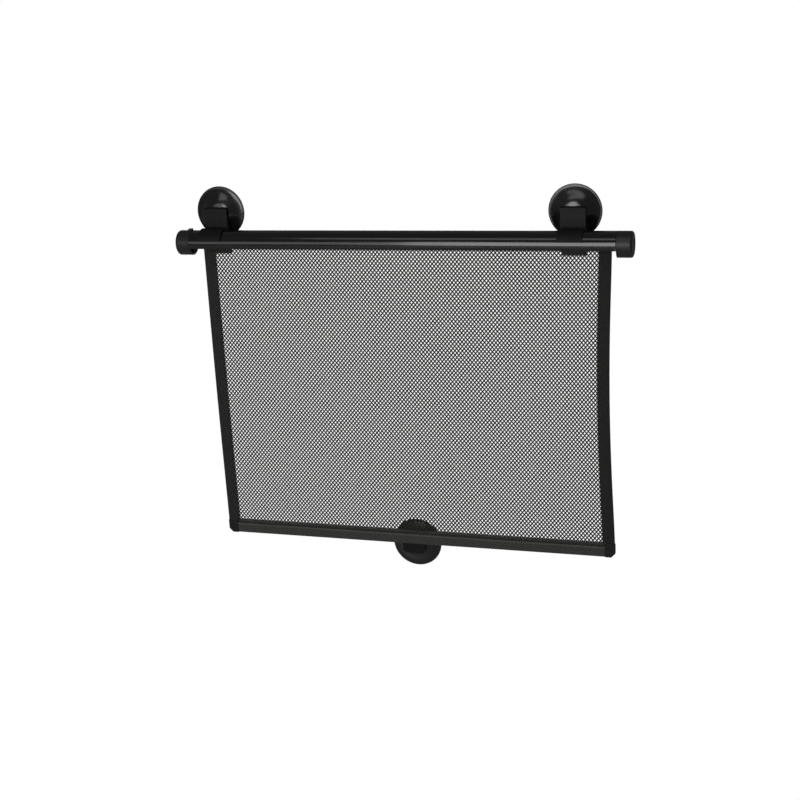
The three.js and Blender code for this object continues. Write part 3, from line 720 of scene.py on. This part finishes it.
def buildCap(name, node, side):
    low, high = nodeBox(node)
    outerX = high.x if side > 0 else low.x
    seatX = outerX - side * cap["length"]

    def at(x, y=0.0, z=0.0):
        return (x, axis.y + y, axis.z + z)

    def out(distance):
        return seatX + side * distance

    body = rodBetween(name, shellRadius, at(seatX), at(outerX), 112)
    startEdit(body)
    pickFaces(body, lambda co, normal: normal.x * side > 0.9)
    bpy.ops.mesh.bevel(offset=cap["round"], segments=8, affect="EDGES")
    bpy.ops.mesh.select_all(action="DESELECT")
    pickFaces(body, lambda co, normal: abs(co.x - outerX) < nearly and normal.x * side > 0.99)
    bpy.ops.mesh.inset(thickness=cap["rim"])
    bpy.ops.mesh.inset(thickness=cap["dish"])
    bpy.ops.transform.translate(value=(-side * cap["dish"], 0, 0))
    stopEdit()
    # A shallow witness groove where the cap meets the shell
    grooveStart = at(out(cap["grooveIn"]))
    grooveEnd = at(out(cap["grooveIn"] + cap["groove"]))
    ring = rodBetween("ring", shellRadius + past, grooveStart, grooveEnd, 112)
    drill(ring, shellRadius - cap["groove"], at(out(0)), at(out(3 * mm)), 112)
    cutSolid(body, ring)
    depth = cap["length"] - cap["endWall"]
    core = rodBetween("core", shellRadius - cap["wall"], at(out(-past)), at(out(depth)), 80)
    drill(core, cap["hub"], at(out(-2 * past)), at(out(depth + past)), 48)
    cutSolid(body, core)
    reach = shellRadius - cap["wall"] / 2
    half = cap["rib"] / 2
    x0, x1 = sorted((seatX, out(depth + 0.5 * mm)))
    joinSolid(body, cubeBetween("ribLevel", at(x0, -reach, -half), at(x1, reach, half)))
    joinSolid(body, cubeBetween("ribUpright", at(x0, -half, -reach), at(x1, half, reach)))
    joinSolid(body, rodBetween("hub", cap["hub"], at(out(depth)), at(out(-cap["hubReach"])), 48))
    outerSpigot = shellRadius - cassette["wall"] - 0.3 * mm
    spigot = rodBetween("spigot", outerSpigot, at(out(cap["wall"])), at(out(-cap["spigot"])), 80)
    spigotBore = outerSpigot - cap["spigotWall"]
    drill(spigot, spigotBore, at(out(cap["wall"] + past)), at(out(-cap["spigot"] - past)), 80)
    x0, x1 = sorted((out(cap["wall"] + 2 * past), out(-cap["spigot"] - 2 * past)))
    cutSolid(spigot, cubeBetween("below", at(x0, -15 * mm, -15 * mm), at(x1, 15 * mm, 1.5 * mm)))
    joinSolid(body, spigot)
    drill(body, cap["bore"], at(out(-12 * mm)), at(out(9 * mm)))
    if side < 0:
        long, wide, tall = cap["tab"]
        top = shellRadius
        tabLow = at(out(0), -wide / 2, top - cap["wall"] / 2)
        tab = cubeBetween("tab", tabLow, at(out(long), wide / 2, top + tall))
        joinSolid(body, tab)
    softenEdges(body, cap["edge"], 2, 45)
    finishPiece(body, capSatin, "satin_black_moulding", "cassette", node)


buildCap("endCapLeft", "end_cap_left", -1)
buildCap("endCapRight", "end_cap_right", 1)
print("end caps built")


# Cup clips: a springy hook over the cassette, a keyhole plate above it that takes the cup's head,
# and a foot behind it whose nib catches the shell's rear edge
clip = {
    "gap": 0.3 * mm,
    "wall": 1.5 * mm,
    "hookEnd": 4.0 * mm,  # the hook's front end, above the cassette's axis
    "footWall": 2.4 * mm,
    "footDepth": 13.1 * mm,
    "nibReach": 2.2 * mm,
    "nibHeight": 2.2 * mm,
    "nibRound": 1.54 * mm,
    "plateRound": 1.9 * mm,
    "rearRound": 0.6 * mm,
    "rearWall": 1.4 * mm,
    "frontWall": 1.1 * mm,
    "pocket": 3.2 * mm,
    "neck": 3.3 * mm,
    "head": 5.1 * mm,
    "travel": 9.0 * mm,
    "edge": 0.3 * mm,
}


def cutKeyhole(body, x, seatZ, entryZ, rearY, frontY):
    pocketRear = rearY - clip["rearWall"]
    pocketFront = frontY + clip["frontWall"]
    lowZ, highZ = sorted((seatZ, entryZ))
    rooms = ((clip["head"], pocketFront, pocketRear), (clip["neck"], pocketRear - past, rearY + past))
    for room, y0, y1 in rooms:
        run = cubeBetween("run", (x - room, y0, lowZ), (x + room, y1, highZ))
        joinSolid(run, rodBetween("seat", room, (x, y0, seatZ), (x, y1, seatZ), 40))
        joinSolid(run, rodBetween("entry", room, (x, y0, entryZ), (x, y1, entryZ), 40))
        cutSolid(body, run)
    drill(body, clip["head"], (x, pocketRear - past, entryZ), (x, rearY + past, entryZ))


def buildClip(name, node, cupNode, body):
    low, high = nodeBox(node)
    x, seatZ = middleOf(cupNode)
    inner = shellRadius + clip["gap"]
    outer = inner + clip["wall"]
    rearY = high.y
    frontY = rearY - clip["rearWall"] - clip["frontWall"] - clip["pocket"]
    plate = cubeBetween(name, (low.x, frontY, axis.z), (high.x, rearY, high.z))
    startEdit(plate, "EDGE")
    pickEdges(plate, lambda a, b: min(a.z, b.z) > high.z - nearly and max(a.y, b.y) < frontY + nearly)
    bpy.ops.mesh.bevel(offset=clip["plateRound"], segments=6, affect="EDGES")
    bpy.ops.mesh.select_all(action="DESELECT")
    pickEdges(plate, lambda a, b: min(a.z, b.z) > high.z - nearly and min(a.y, b.y) > rearY - nearly)
    bpy.ops.mesh.bevel(offset=clip["rearRound"], segments=3, affect="EDGES")
    stopEdit()
    hook = rodBetween("hook", outer, (low.x, axis.y, axis.z), (high.x, axis.y, axis.z), 128)
    under = (low.x - past, axis.y - 2 * outer, axis.z - 2 * outer)
    cutSolid(hook, cubeBetween("under", under, (high.x + past, axis.y + 2 * outer, axis.z)))
    cutSolid(hook, cubeBetween("front", under, (high.x + past, axis.y, axis.z + clip["hookEnd"])))
    joinSolid(plate, hook)
    footFront = rearY - clip["footWall"]
    footLow = (low.x, footFront, axis.z - clip["footDepth"])
    joinSolid(plate, cubeBetween("foot", footLow, (high.x, rearY, axis.z + past)))
    drill(plate, inner, (low.x - past, axis.y, axis.z), (high.x + past, axis.y, axis.z), 128)
    beadBottom = axis.z - cassette["bead"]
    beadBottom -= (shellRadius - cassette["bead"]) * math.sin(math.radians(cassette["opening"]))
    nibTop = beadBottom - clip["gap"]
    nibLow = (low.x, footFront - clip["nibReach"], nibTop - clip["nibHeight"])
    nib = cubeBetween("nib", nibLow, (high.x, footFront + past, nibTop))
    startEdit(nib, "EDGE")
    pickEdges(nib, lambda a, b: max(a.z, b.z) < nibTop - nearly and max(a.y, b.y) < footFront - nearly)
    bpy.ops.mesh.bevel(offset=clip["nibRound"], segments=4, affect="EDGES")
    stopEdit()
    joinSolid(plate, nib)
    cutKeyhole(plate, x, seatZ, seatZ - clip["travel"], rearY, frontY)
    softenEdges(plate, clip["edge"], 3, 40)
    finishPiece(plate, clipSatin, "satin_black_moulding", body, node)


buildClip("cupClipLeft", "cup_clip_left", "suction_cup_left", "clip_left")
buildClip("cupClipRight", "cup_clip_right", "suction_cup_right", "clip_right")
print("cup clips built")


# Suction cups: one bell with a rolled lip, neck and mushroom head, copied to the three places
cup = {
    "land": 2.2 * mm,
    "lip": 1.0 * mm,
    "hollow": 2.6 * mm,
    "dome": 8.3 * mm,
    "shoulder": 7.6 * mm,
    "neck": 3.0 * mm,
    "neckLength": 2.0 * mm,
    "head": 4.8 * mm,
    "headThickness": 2.6 * mm,
    "sides": 128,
}


def buildCups():
    low, high = nodeBox("suction_cup_left")
    radius = (high.x - low.x) / 2
    hollowEdge = radius - cup["land"]
    under = curvePoints((1.2 * mm, cup["hollow"]), (hollowEdge * 0.45, cup["hollow"]),
                        (hollowEdge * 0.75, cup["hollow"] * 0.6), (hollowEdge, 0.02 * mm), 12)
    rim = [(radius - 1.1 * mm, 0.12 * mm), (radius - 0.35 * mm, 0.42 * mm), (radius, 0.8 * mm),
           (radius - 0.1 * mm, 1.1 * mm), (radius - 0.55 * mm, 1.3 * mm), (radius - 1.0 * mm, 1.32 * mm)]
    bell = curvePoints((radius - 1.4 * mm, 1.25 * mm), (radius * 0.68, cup["lip"] + 1.5 * mm),
                       (radius * 0.55, cup["dome"] - 0.7 * mm), (cup["shoulder"], cup["dome"]), 22)
    headBase = cup["dome"] + cup["neckLength"]
    headTop = headBase + cup["headThickness"]
    neck = [(cup["neck"] + 0.5 * mm, cup["dome"] + 0.02 * mm), (cup["neck"], cup["dome"] + 0.5 * mm),
            (cup["neck"], headBase), (cup["head"] - 0.3 * mm, headBase), (cup["head"], headBase + 0.3 * mm),
            (cup["head"], headTop - 0.9 * mm), (cup["head"] - 0.26 * mm, headTop - 0.26 * mm),
            (cup["head"] - 0.9 * mm, headTop), (1.0 * mm, headTop)]
    bellCup = growRings("suctionCupLeft", [*under, *rim, *bell, *neck], cup["sides"])
    bellCup.data.transform(Matrix.Rotation(math.radians(90), 4, "X"))
    smoothUnder(bellCup, 50)
    homes = []
    for node in ("suction_cup_left", "suction_cup_right", "suction_cup_lower"):
        x, z = middleOf(node)
        homes.append(Vector((x, 0, z)))
    right = copyPiece(bellCup, "suctionCupRight", homes[1])
    lower = copyPiece(bellCup, "suctionCupLower", homes[2])
    bellCup.data.transform(Matrix.Translation(homes[0]))
    finishPiece(bellCup, cupRubber, "cup_rubber", "cup_left", "suction_cup_left")
    finishPiece(right, cupRubber, "cup_rubber", "cup_right", "suction_cup_right")
    finishPiece(lower, cupRubber, "cup_rubber", "cup_lower", "suction_cup_lower")


buildCups()
print("suction cups built")


# Lower cup socket: a keyhole plate behind the hem, riveted to the bar through two bosses
socket = {
    "corner": 4.0 * mm,
    "spread": 8.4 * mm,
    "boss": 2.6 * mm,
    "rivet": 1.3 * mm,
    "rivetHead": 2.2 * mm,
    "recess": 0.9 * mm,
    "plate": 5.7 * mm,
    "edge": 0.3 * mm,
}


def buildLowerSocket():
    low, high = nodeBox("lower_cup_socket")
    x, seatZ = middleOf("suction_cup_lower")
    rearY = high.y
    frontY = rearY - socket["plate"]
    plate = cubeBetween("lowerCupSocket", (low.x, frontY, low.z), (high.x, rearY, high.z))
    startEdit(plate, "EDGE")
    pickEdges(plate, lambda a, b: max(a.z, b.z) < low.z + nearly and abs(a.x - b.x) < nearly)
    bpy.ops.mesh.bevel(offset=socket["corner"], segments=8, affect="EDGES")
    stopEdit()
    for side in (-1, 1):
        bossX = x + side * socket["spread"]
        joinSolid(plate, rodBetween("boss", socket["boss"], (bossX, low.y, barCentre.z),
                                    (bossX, frontY + 0.5 * mm, barCentre.z), 40))
    for side in (-1, 1):
        bossX = x + side * socket["spread"]
        behind = (bossX, rearY + past, barCentre.z)
        drill(plate, socket["rivet"], (bossX, low.y - past, barCentre.z), behind, 32)
        drill(plate, socket["rivetHead"], (bossX, rearY - socket["recess"], barCentre.z), behind, 32)
    cutKeyhole(plate, x, seatZ, seatZ + clip["travel"], rearY, frontY)
    softenEdges(plate, socket["edge"], 3, 40)
    finishPiece(plate, clipSatin, "satin_black_moulding", "hem", "lower_cup_socket")


buildLowerSocket()
print("lower socket built")


# Bar ends: small plastic boots on the bottom bar, the lower outer corner cut off
barEnd = {
    "chamfer": 4.0 * mm,
    "gap": 0.3 * mm,
    "grip": 6.8 * mm,
    "edge": 0.45 * mm,
}


def buildBarEnd(name, node, side):
    low, high = nodeBox(node)
    edgeX = high.x if side > 0 else low.x
    innerX = low.x if side > 0 else high.x
    boot = cubeBetween(name, low, high)
    startEdit(boot, "EDGE")
    pickEdges(boot, lambda a, b: max(a.z, b.z) < low.z + nearly
              and max(abs(a.x - edgeX), abs(b.x - edgeX)) < nearly)
    bpy.ops.mesh.bevel(offset=barEnd["chamfer"], segments=1, affect="EDGES")
    stopEdit()
    room = Vector((0, barHigh.y - barCentre.y + barEnd["gap"], barHigh.z - barCentre.z + barEnd["gap"]))
    x0, x1 = sorted((innerX - side * past, innerX + side * barEnd["grip"]))
    slotLow = (x0, barCentre.y - room.y, barCentre.z - room.z)
    slotHigh = (x1, barCentre.y + room.y, barCentre.z + room.z)
    cutSolid(boot, cubeBetween("slot", slotLow, slotHigh))
    softenEdges(boot, barEnd["edge"], 3, 30)
    finishPiece(boot, barEndSatin, "satin_black_moulding", "hem", node)


buildBarEnd("barEndLeft", "bar_end_left", -1)
buildBarEnd("barEndRight", "bar_end_right", 1)
print("bar ends built")


# How the hanging cloth pulls in: a lattice shared by the net, its tapes and their stitches
hang = {
    "waist": {-1: -0.6 * mm, 1: 4.6 * mm},  # how far each edge moves in at half height
    "ripple": 0.35 * mm,
    "levels": 7,
    "columns": 7,
}


def makeHangLattice():
    deselectAll()
    height = panelHigh.z - panelLow.z
    bpy.ops.object.add(type="LATTICE", location=(0, clothY, (panelHigh.z + panelLow.z) / 2))
    lattice = bpy.context.object
    lattice.name = "hangLattice"
    lattice.scale = (2 * clothHalf, 6 * mm, height)
    grid = lattice.data
    grid.points_u, grid.points_v, grid.points_w = hang["columns"], 2, hang["levels"]
    for point in grid.points:
        level = math.sin((point.co.z + 0.5) * math.pi)
        side = 1 if point.co.x > 0 else -1
        share = min(1.0, abs(point.co.x) * 2) ** 3
        inward = hang["waist"][side] * share * level / (2 * clothHalf)
        ripple = hang["ripple"] * level * math.sin(7.0 * point.co.x + 1.3) / (6 * mm)
        point.co_deform = (point.co.x - side * inward, point.co.y + ripple, point.co.z)
    return lattice


hangLattice = makeHangLattice()


def hangPiece(piece):
    return applyModifier(piece, "LATTICE", object=hangLattice)


# Mesh panel: a grid poked and dissolved into diamonds, each opened by an inset
netPanel = {
    "cellWide": 3.7 * mm,
    "cellHigh": 4.4 * mm,
    "thread": 0.66 * mm,  # half a thread's width
    "share": 0.71,  # of the cloth that is thread
    "crown": 0.16 * mm,
    "above": 2.0 * mm,  # reaches up to where it leaves the roll
    "edgeIn": 0.9 * mm,
}


def buildPanel():
    top = panelHigh.z + netPanel["above"]
    width = 2 * (clothHalf - netPanel["edgeIn"])
    height = top - panelLow.z
    columns = round(width / netPanel["cellWide"])
    rows = round(height / netPanel["cellHigh"])
    deselectAll()
    bpy.ops.mesh.primitive_grid_add(x_subdivisions=columns, y_subdivisions=rows, size=1,
                                    location=(0, clothY, (top + panelLow.z) / 2),
                                    rotation=(math.radians(90), 0, 0))
    panel = nameNewest("meshPanel")
    panel.scale = (width, height, 1)
    placeInMesh(panel)
    startEdit(panel, "EDGE")
    bpy.ops.mesh.select_all(action="SELECT")
    bpy.ops.mesh.poke()
    pickEdges(panel, lambda a, b: abs(a.x - b.x) < nearly or abs(a.z - b.z) < nearly)
    bpy.ops.mesh.dissolve_edges(use_verts=False)
    bpy.ops.mesh.select_mode(type="FACE")
    bpy.ops.mesh.select_all(action="SELECT")
    bpy.ops.mesh.inset(thickness=netPanel["thread"], depth=0, use_individual=True, use_even_offset=True)
    bpy.ops.mesh.delete(type="FACE")
    stopEdit()
    startEdit(panel, "VERT")
    bpy.ops.mesh.select_non_manifold(extend=False, use_wire=False, use_boundary=True, use_multi_face=False,
                                     use_non_contiguous=False, use_verts=False)
    bpy.ops.transform.translate(value=(0, netPanel["crown"], 0))
    stopEdit()
    hangPiece(panel)
    makeActive(panel)
    bpy.ops.object.shade_smooth()
    finishPiece(panel, meshThread, "mesh_cloth", "cassette", "mesh_panel")
    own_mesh(panel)


buildPanel()
print("mesh panel built")


# Side tapes: one woven strip folded over each edge of the net and sewn through
tape = {
    "width": 12.0 * mm,
    "half": 0.6 * mm,  # from the cloth's plane to the middle of each leaf
    "wall": 0.38 * mm,
    "rows": 110,
    "leafSteps": 8,
    "foldSteps": 6,
    "stitch": 2.5 * mm,
    "stitchGap": 0.9 * mm,
    "stitchThick": 0.42 * mm,
    "seamIn": 1.8 * mm,
}


def buildTape(name, node, side):
    low, high = nodeBox(node)
    innerX = side * (clothHalf - tape["width"])
    bendX = side * (clothHalf - tape["half"] - tape["wall"] / 2)
    profile = []
    for i in range(tape["leafSteps"] + 1):
        x = innerX + (bendX - innerX) * i / tape["leafSteps"]
        belly = 0.12 * mm * math.sin(math.pi * i / tape["leafSteps"])
        profile.append((x, clothY - tape["half"] - belly, low.z))
    for i in range(1, tape["foldSteps"]):
        angle = math.pi * i / tape["foldSteps"]
        x = bendX + side * tape["half"] * math.sin(angle)
        profile.append((x, clothY - tape["half"] * math.cos(angle), low.z))
    front = profile[:tape["leafSteps"] + 1]
    profile += [(x, 2 * clothY - y, z) for x, y, z in reversed(front)]
    start = Vector(profile[0])
    strip = drawSheet(name, start, start + Vector((0, 0, high.z - low.z)), tape["rows"], profile)
    thicken(strip, tape["wall"])
    hangPiece(strip)
    smoothUnder(strip, 50)
    finishPiece(strip, tapeCloth, "tape_cloth", "cassette", node)
    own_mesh(strip)


# A row of lockstitches: one short rounded stitch, repeated along the seam
def buildSeam(name, start, end, turned, body, squashTop=None):
    start, end = Vector(start), Vector(end)
    pitch = tape["stitch"] + tape["stitchGap"]
    count = int((end - start).length / pitch)
    along = (end - start).normalized()
    half = Vector([tape["stitchThick"] / 2] * 3)
    first = start + along * pitch / 2
    reach = along * tape["stitch"] / 2
    across = Vector([abs(value) for value in reach])
    stitch = cubeBetween(name, first - across - half, first + across + half)
    applyModifier(stitch, "BEVEL", width=tape["stitchThick"] * 0.42, segments=2, limit_method="NONE")
    startEdit(stitch)
    bpy.ops.mesh.select_all(action="SELECT")
    lean = math.radians(9 if turned == "Y" else 7)
    bpy.ops.transform.rotate(value=lean, orient_axis=turned, center_override=first)
    stopEdit()
    applyModifier(stitch, "ARRAY", count=count, use_relative_offset=False, use_constant_offset=True,
                  constant_offset_displace=along * pitch)
    hangPiece(stitch)
    smoothUnder(stitch, 60)
    finishPiece(stitch, stitchThread, "tape_cloth", body)
    if squashTop is not None:
        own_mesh(stitch)


def buildTapes():
    for side, word in ((-1, "Left"), (1, "Right")):
        node = "side_tape_" + word.lower()
        buildTape("sideTape" + word, node, side)
        low, high = nodeBox(node)
        x = side * (clothHalf - tape["width"] + tape["seamIn"])
        for face, label in ((-1, "Front"), (1, "Rear")):
            y = clothY + face * (tape["half"] + tape["wall"] / 2 + 0.1 * mm)
            buildSeam("tapeSeam" + word + label, (x, y, low.z), (x, y, high.z), "Y", "cassette", high.z)


buildTapes()
print("side tapes built")


# Hem: the net turned up round the bottom bar and sewn along its top
hem = {
    "wall": 0.4 * mm,
    "belly": 1.58 * mm,  # from the cloth's plane to the middle of the leaf at the bar
    "pinch": 0.5 * mm,
    "free": 0.75 * mm,
    "bossRoom": 0.3 * mm,
    "steps": 120,
}


def hemProfile():
    top, bottom = hemHigh.z, hemLow.z + hem["wall"] / 2
    bellyTop = barHigh.z - 0.4 * mm
    front = [(hem["free"], top), (hem["free"] * 0.92, top - 0.7 * mm),
             (hem["pinch"] + 0.08 * mm, seamZ + 0.5 * mm),
             (hem["pinch"], seamZ), (hem["pinch"] + 0.12 * mm, seamZ - 0.45 * mm)]
    front += curvePoints((hem["pinch"] + 0.3 * mm, seamZ - 0.75 * mm),
                         (hem["belly"] * 0.98, seamZ - 0.95 * mm), (hem["belly"], seamZ - 1.8 * mm),
                         (hem["belly"], bellyTop - 2.2 * mm), 6)
    front += [(hem["belly"] * 0.97, barCentre.z), (hem["belly"], bottom + hem["belly"] + 0.4 * mm)]
    turn = arcPoints((0, bottom + hem["belly"]), hem["belly"], 0, -180, 12)
    rear = [(-out, z) for out, z in reversed(front)]
    points = [*front, *turn, *rear]
    return [(hemLow.x, clothY - out, z) for out, z in points]


def buildHem():
    profile = hemProfile()
    start = Vector(profile[0])
    end = start + Vector((hemHigh.x - hemLow.x, 0, 0))
    pocket = drawSheet("hemPocket", start, end, hem["steps"], profile)
    thicken(pocket, hem["wall"])
    socketX = middleOf("lower_cup_socket")[0]
    for side in (-1, 1):
        bossX = socketX + side * socket["spread"]
        rear = (bossX, clothY + 4 * mm, barCentre.z)
        drill(pocket, socket["boss"] + hem["bossRoom"], (bossX, clothY + 1 * mm, barCentre.z), rear)
    smoothUnder(pocket, 45)
    finishPiece(pocket, hemCloth, "mesh_cloth", "hem", "hem_pocket")
    for face, label in ((-1, "Front"), (1, "Rear")):
        y = clothY + face * (hem["pinch"] + hem["wall"] / 2 + 0.08 * mm)
        buildSeam("hemSeam" + label, (hemLow.x, y, seamZ), (hemHigh.x, y, seamZ), "Y", "hem")


buildHem()
print("hem built")


# Cloth left on the roller: one sheet wound in a spiral, as wide as the cloth with its tapes
roll = {
    "inner": 5.0 * mm,
    "pitch": 0.5 * mm,
    "turns": 1.5,
    "perTurn": 48,
    "wall": 0.34 * mm,
    "pieces": 8,
}


def buildRoll():
    steps = round(roll["turns"] * roll["perTurn"])
    profile = []
    for i in range(steps + 1):
        turn = roll["turns"] * i / steps
        radius = roll["inner"] + roll["pitch"] * turn
        angle = (turn - roll["turns"]) * 2 * math.pi
        profile.append((-clothHalf, axis.y + radius * math.cos(angle), axis.z - radius * math.sin(angle)))
    start = Vector(profile[0])
    wound = drawSheet("clothRoll", start, start + Vector((2 * clothHalf, 0, 0)), roll["pieces"], profile)
    thicken(wound, roll["wall"])
    smoothUnder(wound, 50)
    finishPiece(wound, rolledCloth, "mesh_cloth", "roller", "cloth_roll")


buildRoll()
bpy.data.objects.remove(hangLattice)
print("roll built")

for name in ("roller_plug_left", "roller_plug_right", "arbor_bush"):
    refinishNode(name, bushPlastic)
for name in ("idle_pin", "arbor_rod", "arbor_collar", "socket_rivet_left", "socket_rivet_right",
             "bottom_bar"):
    refinishNode(name, plainSteel)
refinishNode("roller_tube", tubeAluminium)
refinishNode("torsion_spring", springSteel)
print("inner parts refinished")


# Floor, backdrop, lights and camera
studio = {
    "lightTarget": (0, 0, -0.1),
    "floorZ": -0.43,
    "softboxPlace": (-0.17, -1.5, 0.16),  # its left neighbour is dimmer, so the gloss fades to the left
    "softboxSize": (0.54, 0.8),
    "softboxPower": 5.6,
    "dimPlace": (-0.72, -1.5, 0.16),
    "dimSize": (0.54, 0.5),
    "dimPower": 1.0,
    "overheadPlace": (0.1, -0.86, 1.08),
    "overheadSize": (1.5, 0.3),
    "overheadPower": 1.7,
    "rearPlace": (-0.5, 1.25, -0.15),
    "rearSize": (0.9, 0.5),
    "rearPower": 2.0,
    "fill": 0.13,
    "cameraPlace": (398.05 * mm, -1273.18 * mm, 219.76 * mm),
    "cameraYaw": -17.885,
    "cameraPitch": -16.895,
    "cameraRoll": -3.176,
    "focalPixels": 1424.87,
    "framePixels": 800,
}


# White to the camera, while every other ray meets the shader given
def whiteToCamera(tree, lit, glow):
    path = addNode(tree, "ShaderNodeLightPath")
    white = addNode(tree, glow)
    white.inputs["Color"].default_value = (1, 1, 1, 1)
    blend = addNode(tree, "ShaderNodeMixShader")
    tree.links.new(path.outputs["Is Camera Ray"], blend.inputs[0])
    tree.links.new(lit, blend.inputs[1])
    tree.links.new(white.outputs[0], blend.inputs[2])
    return blend.outputs[0]


def buildFloor():
    deselectAll()
    bpy.ops.mesh.primitive_plane_add(size=6, location=(0, 0, studio["floorZ"]))
    floor = placeInMesh(nameNewest("paleFloor"))
    material = bpy.data.materials.new("paleFloor")
    material.use_nodes = True
    tree = material.node_tree
    tree.nodes.clear()
    pale = addNode(tree, "ShaderNodeBsdfDiffuse")
    pale.inputs["Color"].default_value = (0.78, 0.78, 0.77, 1)
    sink = addNode(tree, "ShaderNodeOutputMaterial")
    tree.links.new(whiteToCamera(tree, pale.outputs[0], "ShaderNodeEmission"), sink.inputs["Surface"])
    floor.data.materials.append(material)


def buildWorld():
    world = bpy.data.worlds.new("studioWorld")
    bpy.context.scene.world = world
    world.use_nodes = True
    tree = world.node_tree
    tree.nodes.clear()
    dim = addNode(tree, "ShaderNodeBackground")
    dim.inputs["Color"].default_value = (0.93, 0.96, 1.0, 1)
    dim.inputs["Strength"].default_value = studio["fill"]
    sink = addNode(tree, "ShaderNodeOutputWorld")
    white = whiteToCamera(tree, dim.outputs[0], "ShaderNodeBackground")
    tree.links.new(white, sink.inputs["Surface"])


def addSoftbox(name, place, target, size, power):
    deselectAll()
    place = Vector(place)
    turn = (Vector(target) - place).to_track_quat("-Z", "Y").to_euler()
    bpy.ops.object.light_add(type="AREA", location=place, rotation=turn)
    light = bpy.context.object
    light.name = name
    light.data.shape = "RECTANGLE"
    light.data.size, light.data.size_y = size
    light.data.energy = power


def setCamera():
    yaw, pitch, roll = (math.radians(studio[key]) for key in ("cameraYaw", "cameraPitch", "cameraRoll"))
    ahead = Vector((math.sin(yaw) * math.cos(pitch), math.cos(yaw) * math.cos(pitch), math.sin(pitch)))
    level = Vector((math.cos(yaw), -math.sin(yaw), 0))
    upright = level.cross(ahead)
    right = math.cos(roll) * level + math.sin(roll) * upright
    up = math.cos(roll) * upright - math.sin(roll) * level
    deselectAll()
    bpy.ops.object.camera_add()
    camera = bpy.context.object
    camera.matrix_world = matrixFrom(right, up, -ahead, Vector(studio["cameraPlace"]))
    camera.data.sensor_fit = "HORIZONTAL"
    camera.data.sensor_width = 36
    camera.data.lens = 36 * studio["focalPixels"] / studio["framePixels"]
    camera.data.clip_start = 0.05
    bpy.context.scene.camera = camera


buildFloor()
buildWorld()
for kind in ("softbox", "dim", "overhead", "rear"):
    place, size, power = (studio[kind + word] for word in ("Place", "Size", "Power"))
    addSoftbox(kind + "Light", place, studio["lightTarget"], size, power)
setCamera()
bpy.context.scene.view_settings.view_transform = "Standard"
print("studio set")
